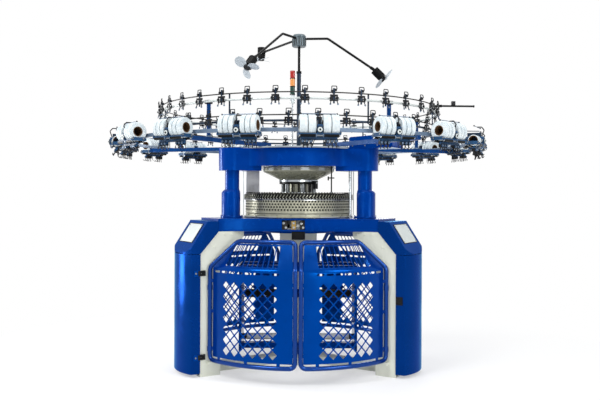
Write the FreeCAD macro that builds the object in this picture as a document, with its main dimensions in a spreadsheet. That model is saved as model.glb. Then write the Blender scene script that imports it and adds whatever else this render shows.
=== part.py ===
"""Circular knitting machine: a three-legged frame carries a rotating needle cylinder, its cam ring, an
upper frame on three posts, a round creel with elastane bobbins and a lint blower on a central mast.

Millimetres. The origin lies on the floor under the machine's axis, +Z is up and -Y is the front.
A direction around the machine is an angle turned about +Z from the front, positive towards +X, and
R is the distance from the axis. Each piece is drawn facing the front and then turned to its place.
"""

import FreeCAD, Part
import math
import os
import re
import Sketcher

SIZES = {
    # clearances
    "gap": 0.3,
    "running_gap": 4,
    # numbers of flats on what is round
    "ring_sides": 18,
    "cam_sides": 18,
    "creel_sides": 18,
    "plate_sides": 24,
    "turned_sides": 16,
    "shaft_sides": 12,
    "thin_sides": 8,
    # legs: a channel of plate, open outwards, with a gusset under the table
    "leg_count": 3,
    "leg_depth": 187,
    "leg_outer": 1067,
    "leg_half": 190,
    "leg_wall": 12,
    "gusset_reach": 220,
    "gusset_height": 49,
    "gusset_drop": 269,
    # leg covers: a D-shaped sheet-metal shell in two parts, the lower one a door
    "cover_half": 200,
    "cover_depth": 83,
    "cover_round": 467,
    "cover_sheet": 4,
    "cover_bottom": 30,
    "cover_seam": 1040,
    "cover_split": 7,
    "cap_depth": 118,
    "cap_top": 1320,
    "cap_top_inset": 64,
    "cap_corner_inset": 167,
    "grip_bottom": 620,
    "grip_height": 70,
    "latch_low": 144,
    "latch_high": 854,
    "latch_height": 50,
    "latch_width": 60,
    "latch_depth": 12,
    "latch_inset": 4,
    # table: a hexagon with three arms out to the legs, hollow for the drive gears
    "table_bottom": 1229,
    "table_height": 99,
    "table_plate": 12,
    "table_flat": 550,
    "arm_over_leg": 23,
    "table_floor": 21,
    "table_bore": 342,
    "gear_room": 456,
    "notch_left": 143,
    "notch_right": 56,
    "notch_sill": 14,
    "stop_half": 58,
    "stop_depth": 70,
    "stop_height": 73,
    # floor base with the take-down pivot
    "base_disc": 260,
    "base_height": 70,
    "base_arm": 140,
    # drive: gears with equal ratios above and below keep cylinder and dial in step
    "gear_pitch": 432,
    "pinion_pitch": 108,
    "gear_teeth": 48,
    "pinion_teeth": 12,
    "tooth_out": 7,
    "tooth_in": 10,
    "gear_width": 35,
    "pinion_room": 121,
    "shaft_radius": 14,
    "shaft_play": 2,
    "belt_room": 95,
    "pulley_width": 22,
    "pulley_shaft": 78,
    "pulley_motor": 39,
    "belt_clear": 2,
    "belt_sheet": 4,
    "belt_lift": 6,
    "motor_radius": 84,
    "motor_length": 300,
    "motor_top": 1100,
    "motor_play": 3,
    "motor_spindle": 12,
    "motor_foot": 150,
    # knitting head below the needles
    "bearing_inner": 346,
    "bearing_outer": 415,
    "gear_bottom": 1285,
    "hanger_inner": 290,
    "hanger_outer": 330,
    "hanger_drop": 85,
    "cylinder_inner": 328,
    "skirt_radius": 346,
    "skirt_play": 8,
    "skirt_top": 1378,
    "cylinder_radius": 375,
    "cylinder_top": 1515,
    "saddle_inner": 386,
    "saddle_outer": 498,
    "saddle_bottom": 1376,
    "saddle_top": 1400,
    "pedestal_half": 52,
    "pedestal_angle": 40,
    "cam_inner": 388,
    "cam_outer": 494,
    "cam_top": 1502,
    "cam_split": 3,
    "feeder_inner": 446,
    "feeder_outer": 496,
    "feeder_top": 1560,
    "finger_half": 9,
    "finger_depth": 12,
    "finger_low": 1512,
    "finger_high": 1552,
    # knitting head above the needles
    "dial_radius": 372,
    "dial_bottom": 1518,
    "dial_height": 16,
    "dial_shaft": 30,
    "dial_cam_radius": 362,
    "dial_cam_bottom": 1537,
    "dial_cam_height": 22,
    "hub_tube": 90,
    "column_circle": 148,
    "column_radius": 20,
    "column_count": 6,
    "collar_radius": 180,
    "collar_bottom": 1665,
    "cone_bottom": 1692,
    "cone_rim": 330,
    "rim_bottom": 1765,
    # posts and upper frame
    "post_circle": 690,
    "post_flange": 100,
    "post_flange_height": 20,
    "post_lower": 82,
    "post_upper": 62,
    "post_step": 1590,
    "post_top": 1761,
    "frame_bottom": 1803,
    "frame_top": 1960,
    "frame_radius": 540,
    "lobe_half": 150,
    "lobe_corner": 106,
    "boss_radius": 110,
    "upper_room_floor": 1868,
    "dial_gear_bottom": 1880,
    "top_plate_radius": 580,
    "top_plate_height": 12,
    "box_inner": 586,
    "box_outer": 1000,
    "box_half": 120,
    "box_top": 2087,
    "box_slope_start": 800,
    "box_end_top": 2030,
    "panel_circle": 560,
    "panel_half": 115,
    "panel_depth": 90,
    "panel_bottom": 1450,
    "panel_top": 1790,
    # creel
    "arm_inner": 440,
    "arm_outer": 1572,
    "arm_half": 18,
    "arm_height": 36,
    "spool_ring_inner": 1546,
    "spool_ring_width": 28,
    "spool_ring_height": 28,
    "device_count": 18,
    "device_first": 5,
    "bobbin_radius": 75,
    "bobbin_length": 120,
    "bobbin_circle": 1660,
    "bobbin_play": 2,
    "head_half": 22,
    "head_outer": 1735,
    "head_top": 2082,
    "head_bottom": 1985,
    "roller_radius": 18,
    "roller_half": 143,
    "roller_spread": 45,
    "roller_drop": 21,
    "comb_top": 1960,
    "comb_low": 1886,
    "comb_root": 1925,
    "comb_half": 130,
    "comb_tooth": 40,
    "comb_sheet": 6,
    "tier_inner": 1253,
    "tier_outer": 1277,
    "guide_spread": 5,
    "upper_first": 7,
    "lower_first": 11.5,
    "upper_tube_low": 2279,
    "upper_rod_low": 2333,
    "lower_tube_low": 2108,
    "lower_rod_low": 2158,
    "tube_height": 22,
    "rod_height": 10,
    "rod_width": 10,
    "upper_guide_low": 2240,
    "lower_guide_low": 2066,
    "guide_height": 123,
    "guide_half": 11,
    "creel_post_radius": 17.5,
    "upright_width": 10,
    # mast, lamp and lint blower
    "mast_radius": 20,
    "mast_thin": 12.5,
    "mast_flange": 50,
    "mast_flange_height": 12,
    "mast_step": 2700,
    "mast_top": 2941,
    "lamp_radius": 25,
    "lamp_pole": 8,
    "lamp_side": 60,
    "lamp_bottom": 2404,
    "lamp_segment": 75.5,
    "lamp_count": 4,
    "blower_hub": 66,
    "blower_hub_height": 113,
    "blower_arm_height": 3017,
    "blower_arm_radius": 11,
    "blower_bend": 269,
    "fan_reach": 785,
    "fan_height": 2640,
    "fan_back_reach": 780,
    "fan_radius": 125,
    "fan_core": 30,
    "fan_play": 0.5,
    "fan_core_height": 24,
    "fan_sheet": 4,
    "fan_tilt": 18,
    "fan_motor_radius": 41,
    "fan_motor_length": 113,
    # gates and guards: bent sheet in a tube frame
    "gate_inset": 57,
    "gate_bottom": 129,
    "gate_bend": 930,
    "gate_top": 1172,
    "gate_lean": 180,
    "hinge_room": 6.2,
    "gate_middle": 1.25,
    "gate_corner": 38,
    "tube_radius": 19,
    "hinge_play": 3.5,
    "sheet_thickness": 3,
    "sheet_margin": 1.6,
    "window_low": 205,
    "window_high": 839,
    "window_near": 9.4,
    "window_far": 38.4,
    "mesh_columns": 6,
    "mesh_rows": 6,
    "mesh_bar": 13,
    "guard_columns": 6,
    "guard_rows": 2,
    "slot_low": 985,
    "slot_high": 1118,
    "slot_near": 8,
    "slot_far": 32,
    "slot_count": 8,
    "slot_bar": 11,
    # take-down inside the gates, which turns with the cylinder
    "side_gap": 520,
    "side_sheet": 25,
    "side_half": 170,
    "side_bottom": 110,
    "side_top": 900,
    "strut_half": 9,
    "strut_spread": 100,
    "beam_half": 40,
    "beam_height": 50,
    "crossbar_width": 30,
    "crossbar_height": 60,
    "pivot_radius": 120,
    "nip_radius": 34,
    "nip_spread": 35.2,
    "nip_height": 620,
    "cloth_radius": 30,
    "cloth_height": 215,
}

# places worked out from the sizes, as sums
PLACES = {
    "leg_inner": "leg_outer - leg_depth",
    "gusset_inner": "leg_outer - leg_depth - gusset_reach",
    "cover_side": "leg_outer + cover_depth",
    "cap_bottom_outer": "leg_outer + cap_depth",
    "cap_top_outer": "leg_outer - cap_top_inset",
    "cap_chamfer": "leg_outer - cap_corner_inset",
    "table_arm": "leg_outer - leg_depth + arm_over_leg",
    "gate_radius": "leg_outer - gate_inset",
    "gate_top_radius": "leg_outer - gate_inset - gate_lean",
}

LEG_ANGLES = {"left": -60, "right": 60, "rear": 180}
ARM_ANGLES = (-108, -36, 36, 108, 180)
UPRIGHT_ANGLES = (-146, -86, -26, 26, 86, 146)
DRIVE_ANGLE = 60
PANEL_ANGLE = -120
FAN_ANGLES = {"right": 86, "left": -34, "back": -150}

doc = FreeCAD.newDocument("circular_knitting_machine")
sheet = doc.addObject("Spreadsheet::Sheet", "Sizes")
for row, (word, value) in enumerate(SIZES.items(), start=1):
    sheet.set(f"A{row}", word)
    sheet.set(f"B{row}", str(value))
    sheet.setAlias(f"B{row}", word)
doc.recompute()
size = {word: float(sheet.get(word)) for word in SIZES}

nodes = []
Vector = FreeCAD.Vector
UP = Vector(0, 0, 1)


def opposite(formula):
    """A sum of terms with every sign changed."""
    flipped = formula if formula.startswith("0 ") else "0 + " + formula
    return "0 " + flipped[2:].translate(str.maketrans("+-", "-+"))


def spelled(formula):
    """A sum with each place in it written out in sizes."""

    def written(found):
        sign, word = found.groups()
        if word not in PLACES:
            return found.group()
        place = PLACES[word]
        if sign is None:
            return place
        return " " + (opposite(place)[2:] if "-" in sign else "+ " + place)

    return re.sub(r"(\s*[+-]\s*)?\b([a-z_]+)\b(?![*/])", written, formula)


def number(formula):
    """Value of a sum of sizes such as 'leg_outer - leg_wall' or 'gate_top/2 + 5'."""
    total = 0.0
    formula = spelled(formula)
    for sign, term in re.findall(r"([+-]?)\s*([\w.]+(?:[*/][\w.]+)?)", formula):
        first, mark, second = re.match(r"([\w.]+)([*/]?)([\w.]*)", term).groups()
        amount = size[first] if first in size else float(first)
        if mark:
            factor = size[second] if second in size else float(second)
            amount = amount * factor if mark == "*" else amount / factor
        total += -amount if sign == "-" else amount
    return total


def gate_end():
    """Direction of a gate's hinge, beside the leg's side wall on the gate's curve."""
    beside = number("leg_half + hinge_room + tube_radius")
    return DRIVE_ANGLE - math.degrees(math.asin(beside / number("gate_radius")))


GATE_END = gate_end()


def share(formula, factor):
    """A sum of plain sizes times a factor, as a formula again."""
    terms = "0"
    for sign, term in re.findall(r"([+-]?)\s*([\w.]+)", spelled(formula)):
        part = -factor if sign == "-" else factor
        terms += f" {'-' if part < 0 else '+'} {abs(part):.7f}*{term}"
    return terms


def formula_in_sheet(formula):
    """The same sum, written with the sheet's name in front of each size."""
    return re.sub(r"[a-z_]+", lambda word: "Sizes." + word.group(), spelled(formula))


def bind(thing, target, formula):
    thing.setExpression(target, formula_in_sheet(formula))


def turned_by(angle):
    return FreeCAD.Placement(Vector(0, 0, 0), FreeCAD.Rotation(UP, angle))


def at(angle, radius, height=0.0, side=0.0):
    """The point at a radius and height in a direction, moved sideways by side."""
    return turned_by(angle).multVec(Vector(side, -radius, height))


def evenly(count, first=0.0):
    return [first + i * 360.0 / count for i in range(int(count))]


def keep(thing):
    nodes.append(thing)
    return thing


class Piece:
    """One sub-part: a body whose sketches and features read their sizes from the sheet."""

    PLANES = {"level": "XY_Plane", "front": "XZ_Plane", "side": "YZ_Plane"}

    def __init__(self, label, angle=0.0):
        self.body = keep(doc.addObject("PartDesign::Body", label))
        self.body.Label = label
        self.body.AllowCompound = True
        self.body.Placement = turned_by(angle)
        self.volume = 0.0

    def origin(self, role):
        return next(part for part in self.body.Origin.OriginFeatures if part.Role == role)

    def new(self, kind):
        return self.body.newObject(kind, self.body.Label + "_" + kind.split("::")[1])

    def attach(self, thing, plane, place, turn=0.0):
        """Put a sketch or primitive on an origin plane, moved by formulas and turned on it."""
        thing.AttachmentSupport = [(self.origin(self.PLANES[plane]), "")]
        thing.MapMode = "FlatFace"
        base = Vector(*(number(formula) for formula in place))
        thing.AttachmentOffset = FreeCAD.Placement(base, FreeCAD.Rotation(UP, turn))
        for axis, formula in zip("xyz", place):
            if formula != "0":
                bind(thing, ".AttachmentOffset.Base." + axis, formula)

    def outline(self, plane, corners, base="0", turn=0.0):
        """A closed outline, anticlockwise. A corner is (across, up), or (across, up, radius)
        where an arc bulging outwards, or inwards with "-radius", leads to it."""
        sketch = self.new("Sketcher::SketchObject")
        self.attach(sketch, plane, ("0", "0", base), turn)
        places = [Vector(number(c[0]), number(c[1]), 0) for c in corners]
        count = len(corners)
        ends = []
        for i in range(count):
            start, end = places[i], places[(i + 1) % count]
            corner = corners[(i + 1) % count]
            if len(corner) == 2:
                sketch.addGeometry(Part.LineSegment(start, end))
                ends.append((1, 2))
                continue
            radius = number(corner[2].lstrip("-"))
            if corner[2].startswith("-"):
                start, end = end, start
                ends.append((2, 1))
            else:
                ends.append((1, 2))
            half = end.sub(start).multiply(0.5)
            rise = math.sqrt(radius**2 - half.Length**2)
            inward = Vector(-half.y, half.x, 0).normalize()
            centre = start.add(half).add(inward.multiply(rise))
            angles = [math.atan2(p.y - centre.y, p.x - centre.x) for p in (start, end)]
            sketch.addGeometry(Part.ArcOfCircle(Part.Circle(centre, UP, radius), *angles))
        for i in range(count):
            after = (i + 1) % count
            joint = Sketcher.Constraint("Coincident", i, ends[i][1], after, ends[after][0])
            sketch.addConstraint(joint)
        for i, corner in enumerate(corners):
            for axis, formula in zip(("DistanceX", "DistanceY"), corner):
                value = number(formula)
                if abs(value) < 1e-6:
                    line = -2 if axis == "DistanceX" else -1
                    held = Sketcher.Constraint("PointOnObject", i, ends[i][0], line)
                    sketch.addConstraint(held)
                    continue
                held = Sketcher.Constraint(axis, -1, 1, i, ends[i][0], value)
                bind(sketch, f"Constraints[{sketch.addConstraint(held)}]", formula)
            if len(corner) == 3:
                radius = corner[2].lstrip("-")
                held = Sketcher.Constraint("Radius", (i - 1) % count, number(radius))
                bind(sketch, f"Constraints[{sketch.addConstraint(held)}]", radius)
        return sketch

    def grow(self, kind, sketch, length, symmetric):
        feature = self.new(kind)
        feature.Profile = sketch
        feature.Length = number(length)
        bind(feature, "Length", length)
        if symmetric:
            feature.SideType = "Symmetric"
        cutting = kind.endswith("Pocket")
        if cutting:
            feature.Reversed = True
        self.settle(feature, cutting)
        return feature

    def pad(self, sketch, length, symmetric=False):
        return self.grow("PartDesign::Pad", sketch, length, symmetric)

    def pocket(self, sketch, length, symmetric=False):
        return self.grow("PartDesign::Pocket", sketch, length, symmetric)

    def prism(self, radius, sides, base, height, centre=("0", "0"), cutting=False, first=0.0):
        """A many-sided disc with its flats at a radius, one of them facing first."""
        kind = "SubtractivePrism" if cutting else "AdditivePrism"
        feature = self.new("PartDesign::" + kind)
        turn = 270.0 - 180.0 / number(sides) + first
        self.attach(feature, "level", (*centre, base), turn)
        feature.Polygon = int(number(sides))
        bind(feature, "Polygon", sides)
        corner = number(radius) / math.cos(math.pi / number(sides))
        feature.Circumradius = corner
        reach = f"({formula_in_sheet(radius)}) / cos(180 / {formula_in_sheet(sides)})"
        feature.setExpression("Circumradius", reach)
        feature.Height = number(height)
        bind(feature, "Height", height)
        self.settle(feature, cutting)
        return feature

    def bore(self, radius, sides, base, height, centre=("0", "0"), first=0.0):
        return self.prism(radius, sides, base, height, centre, True, first)

    def around(self, features, count, cutting=False):
        pattern = self.new("PartDesign::PolarPattern")
        pattern.Originals = features
        pattern.Axis = (self.origin("Z_Axis"), [""])
        pattern.Angle = 360
        pattern.Occurrences = int(number(count))
        bind(pattern, "Occurrences", count)
        self.body.Tip = pattern
        self.settle(pattern, cutting)
        return pattern

    def settle(self, feature, cutting):
        """Build the feature and see that it added or took away material."""
        doc.recompute()
        volume = feature.Shape.Volume
        changed = self.volume - volume if cutting else volume - self.volume
        if changed < 1:
            raise ValueError(f"{feature.Label} changed nothing")
        self.volume = volume


def plain(label, shape, angle=0.0):
    """A sub-part whose form is made with solid operations alone."""
    feature = keep(doc.addObject("Part::Feature", label))
    feature.Label = label
    feature.Shape = shape
    feature.Placement = turned_by(angle).multiply(shape.Placement)
    return feature


def group(label, pieces):
    """One sub-part of several pieces that are alike or are fixed together."""
    for piece in pieces:
        nodes.remove(piece)
    whole = keep(doc.addObject("Part::Compound", label))
    whole.Label = label
    whole.Links = pieces
    return whole


def block(across, depth, height):
    """A box from ranges across (X), outwards (R, drawn towards -Y) and up (Z)."""
    corner = Vector(across[0], -depth[1], height[0])
    return Part.makeBox(
        across[1] - across[0], depth[1] - depth[0], height[1] - height[0], corner
    )


def solid_between(rings, closed):
    """A solid from rings of points in step with each other, joined by flat faces."""
    faces = []
    if not closed:
        for ring in (rings[0], rings[-1]):
            faces.append(Part.Face(Part.makePolygon(ring + ring[:1])))
    pairs = list(zip(rings, rings[1:] + (rings[:1] if closed else [])))
    for near, far in pairs if closed else pairs[: len(rings) - 1]:
        for i in range(len(near)):
            after = (i + 1) % len(near)
            loop = []
            for point in (near[i], near[after], far[after], far[i]):
                if not loop or point.distanceToPoint(loop[-1]) > 1e-6:
                    loop.append(point)
            if loop[0].distanceToPoint(loop[-1]) < 1e-6:
                loop.pop()
            if len(loop) > 2:
                faces.append(Part.Face(Part.makePolygon(loop + loop[:1])))
    solid = Part.Solid(Part.makeShell(faces))
    if solid.Volume < 0:
        solid.reverse()
    return solid.removeSplitter()


def folded(section, angles):
    """A section of (R, height) points bent around the machine in straight runs."""
    return solid_between([[at(a, r, z) for r, z in section] for a in angles], False)


def turned(section, sides, first=0.0):
    """A section of (R, height) points turned about the axis, with flats at R."""
    reach = 1 / math.cos(math.pi / sides)
    angles = evenly(sides, first - 180.0 / sides)
    return solid_between([[at(a, r * reach, z) for r, z in section] for a in angles], True)


def pipe(points, radius, sides, lean=0.5):
    """A many-sided bar along straight runs, mitred where they meet."""
    runs = [b.sub(a).normalize() for a, b in zip(points, points[1:])]
    across = runs[0].cross(Vector(0.1, 0.2, 0.9 if abs(runs[0].z) < 0.9 else 0)).normalize()
    beside = runs[0].cross(across)
    reach = radius / math.cos(math.pi / sides)
    ring = []
    for i in range(sides):
        turn = 2 * math.pi * (i + lean) / sides
        offset = Vector(across).multiply(reach * math.cos(turn))
        ring.append(points[0].add(offset).add(Vector(beside).multiply(reach * math.sin(turn))))
    rings = [ring]
    for i, run in enumerate(runs):
        onward = runs[i + 1] if i + 1 < len(runs) else run
        normal = run.add(onward).normalize()
        moved = []
        for point in rings[-1]:
            way = points[i + 1].sub(point).dot(normal) / run.dot(normal)
            moved.append(point.add(Vector(run).multiply(way)))
        rings.append(moved)
    return solid_between(rings, False)


def copies(shape, angles):
    """Copies turned about the axis, with the turn worked into their geometry."""
    result = []
    for angle in angles:
        copy = shape.copy()
        copy.rotate(Vector(0, 0, 0), UP, angle)
        result.append(copy)
    return result


def mirrored(shape):
    return shape.mirror(Vector(0, 0, 0), Vector(1, 0, 0))


# ---------------------------------------------------------------- legs and covers


def leg_frames():
    piece = Piece("leg_frames", DRIVE_ANGLE)
    side = piece.outline(
        "side",
        [
            ("0 - leg_outer", "0"),
            ("0 - leg_inner", "0"),
            ("0 - leg_inner", "table_bottom - gusset_drop"),
            ("0 - gusset_inner", "table_bottom - gusset_height"),
            ("0 - gusset_inner", "table_bottom"),
            ("0 - cap_chamfer", "table_bottom"),
            ("0 - leg_outer", "cover_seam + cover_split"),
        ],
    )
    piece.around([piece.pad(side, "2*leg_half", symmetric=True)], "leg_count")
    room = piece.outline(
        "side",
        [
            ("0 - leg_outer - 40", "leg_wall"),
            ("0 - leg_inner - leg_wall", "leg_wall"),
            ("0 - leg_inner - leg_wall", "table_bottom + 40"),
            ("0 - leg_outer - 40", "table_bottom + 40"),
        ],
    )
    hollow = piece.pocket(room, "2*leg_half - 2*leg_wall", symmetric=True)
    piece.around([hollow], "leg_count", cutting=True)
    away = math.radians(DRIVE_ANGLE - GATE_END)
    out = share("gate_radius", math.cos(away))
    side_way = share("gate_radius", math.sin(away))
    for mark in ("-", "+"):
        near = f"0 {mark} leg_half"
        for low, high, reach in (
            ("gate_bottom - 24", "gate_bottom - gap", side_way + " + tube_radius"),
            ("gate_bend - 120", "gate_bend - 60", side_way + " - tube_radius - hinge_play"),
        ):
            far = reach[2:] if mark == "+" else reach[2:].translate(str.maketrans("+-", "-+"))
            far = "0 " + far
            left, right = (far, near) if mark == "-" else (near, far)
            plan = piece.outline(
                "level",
                [
                    (left, opposite(out + " + tube_radius")),
                    (right, opposite(out + " + tube_radius")),
                    (right, opposite(out + " - tube_radius")),
                    (left, opposite(out + " - tube_radius")),
                ],
                low,
            )
            bracket = piece.pad(plan, f"{high} {opposite(low)[2:]}")
            piece.around([bracket], "leg_count")


def cover_plan(piece, base, inset, inner):
    """The D of a leg cover in plan, drawn in by inset, from the leg's outer side outwards."""
    return piece.outline(
        "level",
        [
            (f"0 - cover_half + {inset}", inner),
            (f"0 - cover_half + {inset}", f"0 - cover_side + {inset}"),
            (f"cover_half - {inset}", f"0 - cover_side + {inset}", f"cover_round - {inset}"),
            (f"cover_half - {inset}", inner),
        ],
        base,
    )


def leg_door(label, angle):
    piece = Piece(label, angle)
    shell = cover_plan(piece, "cover_bottom", "0", "0 - leg_outer - gap")
    piece.pad(shell, "cover_seam - cover_bottom")
    base = "cover_bottom + cover_sheet"
    room = cover_plan(piece, base, "cover_sheet", "0 - leg_outer + 5")
    piece.pocket(room, "cover_seam - cover_bottom - 2*cover_sheet")


def leg_caps():
    piece = Piece("leg_caps", DRIVE_ANGLE)
    side = piece.outline(
        "side",
        [
            ("0 - cap_bottom_outer", "cover_seam + cover_split"),
            ("0 - leg_outer - gap", "cover_seam + cover_split"),
            ("0 - cap_chamfer - gap", "table_bottom + gap"),
            ("0 - table_arm - gap", "table_bottom + gap"),
            ("0 - table_arm - gap", "cap_top"),
            ("0 - cap_top_outer", "cap_top"),
        ],
    )
    piece.around([piece.pad(side, "2*cover_half", symmetric=True)], "leg_count")
    beyond = piece.outline(
        "level",
        [
            ("0 - cover_half", "0 - cap_bottom_outer - 20"),
            ("cover_half", "0 - cap_bottom_outer - 20"),
            ("cover_half", "0 - cover_side"),
            ("0 - cover_half", "0 - cover_side", "-cover_round"),
        ],
        "cover_seam",
    )
    piece.around([piece.pocket(beyond, "cap_top - cover_seam")], "leg_count", cutting=True)
    room = piece.outline(
        "side",
        [
            ("0 - cap_bottom_outer + 12", "cover_seam"),
            ("0 - table_arm + 5", "cover_seam"),
            ("0 - table_arm + 5", "cap_top - cover_sheet"),
            ("0 - cap_top_outer + cover_sheet", "cap_top - cover_sheet"),
        ],
    )
    hollow = piece.pocket(room, "2*cover_half - 2*cover_sheet", symmetric=True)
    piece.around([hollow], "leg_count", cutting=True)


def door_fittings():
    """Two latches on the left door's front side and the recessed grip on the right one's."""
    for label, angle, mark, rows in (
        ("door_latches", LEG_ANGLES["left"], 1, ("latch_low", "latch_high")),
        ("door_grip", LEG_ANGLES["right"], -1, ("grip_bottom",)),
    ):
        piece = Piece(label, angle)
        near = "0 + cover_half + gap" if mark > 0 else "0 - cover_half - gap"
        far = "0 + cover_half + latch_depth" if mark > 0 else "0 - cover_half - latch_depth"
        left, right = (near, far) if mark > 0 else (far, near)
        for low in rows:
            plan = piece.outline(
                "level",
                [
                    (left, "0 - leg_outer - latch_inset - latch_width"),
                    (right, "0 - leg_outer - latch_inset - latch_width"),
                    (right, "0 - leg_outer - latch_inset"),
                    (left, "0 - leg_outer - latch_inset"),
                ],
                low,
            )
            piece.pad(plan, "latch_height" if mark > 0 else "grip_height")


def floor_base():
    piece = Piece("floor_base", DRIVE_ANGLE)
    piece.prism("base_disc", "ring_sides", "0", "base_height")
    arm = piece.outline(
        "level",
        [
            ("0 - base_arm/2", "0"),
            ("0 - base_arm/2", "0 - leg_inner"),
            ("base_arm/2", "0 - leg_inner"),
            ("base_arm/2", "0"),
        ],
    )
    piece.around([piece.pad(arm, "base_height")], "leg_count")


# ---------------------------------------------------------------- table


def table_third(piece, base):
    """A third of the table in plan: half a flat, an arm out to a leg and half a flat."""
    root = "0 - 2*table_flat + 1.7320508*leg_half"
    foot = share("table_flat", math.sin(math.radians(60)))
    return piece.outline(
        "level",
        [
            ("0", "0"),
            (opposite(foot), "0 - 0.5*table_flat"),
            ("0 - leg_half", root),
            ("0 - leg_half", "0 - table_arm"),
            ("leg_half", "0 - table_arm"),
            ("leg_half", root),
            (foot, "0 - 0.5*table_flat"),
        ],
        base,
    )


SHAFT_PLACE = ("0", "0 - gear_pitch - pinion_pitch")


def machine_table():
    piece = Piece("machine_table", DRIVE_ANGLE)
    third = piece.pad(table_third(piece, "table_bottom"), "table_height")
    piece.around([third], "leg_count")
    piece.bore("table_bore", "ring_sides", "table_bottom", "table_height")
    floor = "table_bottom + table_floor"
    piece.bore("gear_room", "ring_sides", floor, "table_height")
    sill = "table_bottom + notch_sill"
    piece.bore("pinion_room", "shaft_sides", sill, "table_height", SHAFT_PLACE)
    channel = piece.outline(
        "level",
        [
            ("0 - belt_room", "0 - table_arm - 20"),
            ("belt_room", "0 - table_arm - 20"),
            ("belt_room", "0 - gear_pitch - pinion_pitch"),
            ("0 - belt_room", "0 - gear_pitch - pinion_pitch"),
        ],
        sill,
    )
    piece.pocket(channel, "table_height")
    notch = piece.outline(
        "level",
        [
            ("0 - notch_left", "0 - table_flat - 20"),
            ("notch_right", "0 - table_flat - 20"),
            ("notch_right", "0 - bearing_outer"),
            ("0 - notch_left", "0 - bearing_outer"),
        ],
        sill,
        -DRIVE_ANGLE,
    )
    piece.pocket(notch, "table_height")


def table_top():
    piece = Piece("table_top", DRIVE_ANGLE)
    base = "table_bottom + table_height"
    piece.around([piece.pad(table_third(piece, base), "table_plate")], "leg_count")
    piece.bore("skirt_radius + skirt_play", "ring_sides", base, "table_plate")
    piece.bore("shaft_radius + shaft_play", "shaft_sides", base, "table_plate", SHAFT_PLACE)


def gate_stop():
    piece = Piece("gate_stop")
    plan = piece.outline(
        "level",
        [
            ("0 - stop_half", "0 - table_flat + 10"),
            ("stop_half", "0 - table_flat + 10"),
            ("stop_half", "0 - table_flat + 10 + stop_depth"),
            ("0 - stop_half", "0 - table_flat + 10 + stop_depth"),
        ],
        "table_bottom - stop_height",
    )
    piece.pad(plan, "stop_height")


# ---------------------------------------------------------------- drive


def gear_wheel(piece, pitch, teeth, base, centre_out="0", tip_at_front=True):
    """The toothed outline of a gear, padded: straight-sided teeth, one tip or gap in front."""
    count = int(number(teeth))
    corners = []
    for i in range(2 * count):
        turn = math.radians(-90 + 180.0 * i / count)
        reach = f"{pitch} + tooth_out" if (i % 2 == 0) == tip_at_front else f"{pitch} - tooth_in"
        across = share(reach, math.cos(turn))
        along = share(reach, math.sin(turn))
        if centre_out != "0":
            along += " " + opposite(centre_out)[2:]
        corners.append((across, along))
    return piece.pad(piece.outline("level", corners, base), "gear_width")


def gears():
    for label, base, bore, sides in (
        ("ring_gear", "gear_bottom", "hanger_inner", "ring_sides"),
        ("dial_gear", "dial_gear_bottom", "dial_shaft", "turned_sides"),
    ):
        piece = Piece(label)
        gear_wheel(piece, "gear_pitch", "gear_teeth", base)
        piece.bore(bore, sides, base, "gear_width")
    piece = Piece("pinions", DRIVE_ANGLE)
    for base in ("gear_bottom", "dial_gear_bottom"):
        gear_wheel(
            piece, "pinion_pitch", "pinion_teeth", base, "gear_pitch + pinion_pitch", False
        )
        piece.bore("shaft_radius", "shaft_sides", base, "gear_width", SHAFT_PLACE)


MOTOR_OUT = "leg_inner + leg_wall + motor_play + motor_radius"


def drive():
    foot = "table_bottom + notch_sill + gap"
    shaft = Piece("drive_shaft", DRIVE_ANGLE)
    height = "dial_gear_bottom + gear_width - table_bottom - notch_sill - gap"
    shaft.prism("shaft_radius", "shaft_sides", foot, height, SHAFT_PLACE)
    low = "table_bottom + notch_sill + belt_lift"
    pulley = Piece("shaft_pulley", DRIVE_ANGLE)
    pulley.prism("pulley_shaft", "turned_sides", low, "pulley_width", SHAFT_PLACE)
    pulley.bore("shaft_radius", "shaft_sides", low, "pulley_width", SHAFT_PLACE)
    motor_place = ("0", opposite(MOTOR_OUT))
    spindle = Piece("motor_pulley", DRIVE_ANGLE)
    spindle.prism("pulley_motor", "turned_sides", low, "pulley_width", motor_place)
    spindle.prism("motor_spindle", "thin_sides", "motor_top + gap", low + " - motor_top", motor_place)
    motor = Piece("main_motor", DRIVE_ANGLE)
    bottom = "motor_top - motor_length"
    motor.prism("motor_radius", "turned_sides", bottom, "motor_length", motor_place)
    mount = motor.outline(
        "level",
        [
            ("0 - motor_radius/2", "0 - leg_inner - leg_wall - motor_radius"),
            ("motor_radius/2", "0 - leg_inner - leg_wall - motor_radius"),
            ("motor_radius/2", "0 - leg_inner - leg_wall - gap"),
            ("0 - motor_radius/2", "0 - leg_inner - leg_wall - gap"),
        ],
        "motor_top - motor_length/2 - motor_foot/2",
    )
    motor.pad(mount, "motor_foot")
    belt = Piece("drive_belt", DRIVE_ANGLE)
    belt.pad(belt_outline(belt, low + " + 1", "belt_clear + belt_sheet"), "pulley_width - 2")
    belt.pocket(belt_outline(belt, low + " + 1", "belt_clear"), "pulley_width - 2")


def belt_outline(piece, base, extra):
    """The line of the belt, a clearance outside both pulleys, in short straight runs."""
    near = number("gear_pitch + pinion_pitch")
    span = number(MOTOR_OUT) - near
    lean = math.degrees(math.asin(number("pulley_shaft - pulley_motor") / span))
    steps = 6
    corners = []
    for radius, out, first, last in (
        ("pulley_motor", MOTOR_OUT, -180 + lean, 0 - lean),
        ("pulley_shaft", "gear_pitch + pinion_pitch", 0 - lean, 180 + lean),
    ):
        for i in range(steps + 1):
            turn = math.radians(first + (last - first) * i / steps)
            reach = f"{radius} + {extra}"
            wide = 1 / math.cos(math.radians((last - first) / steps / 2))
            along = share(reach, wide * math.sin(turn)) + " " + opposite(out)[2:]
            corners.append((share(reach, wide * math.cos(turn)), along))
    return piece.outline("level", corners, base)


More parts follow.
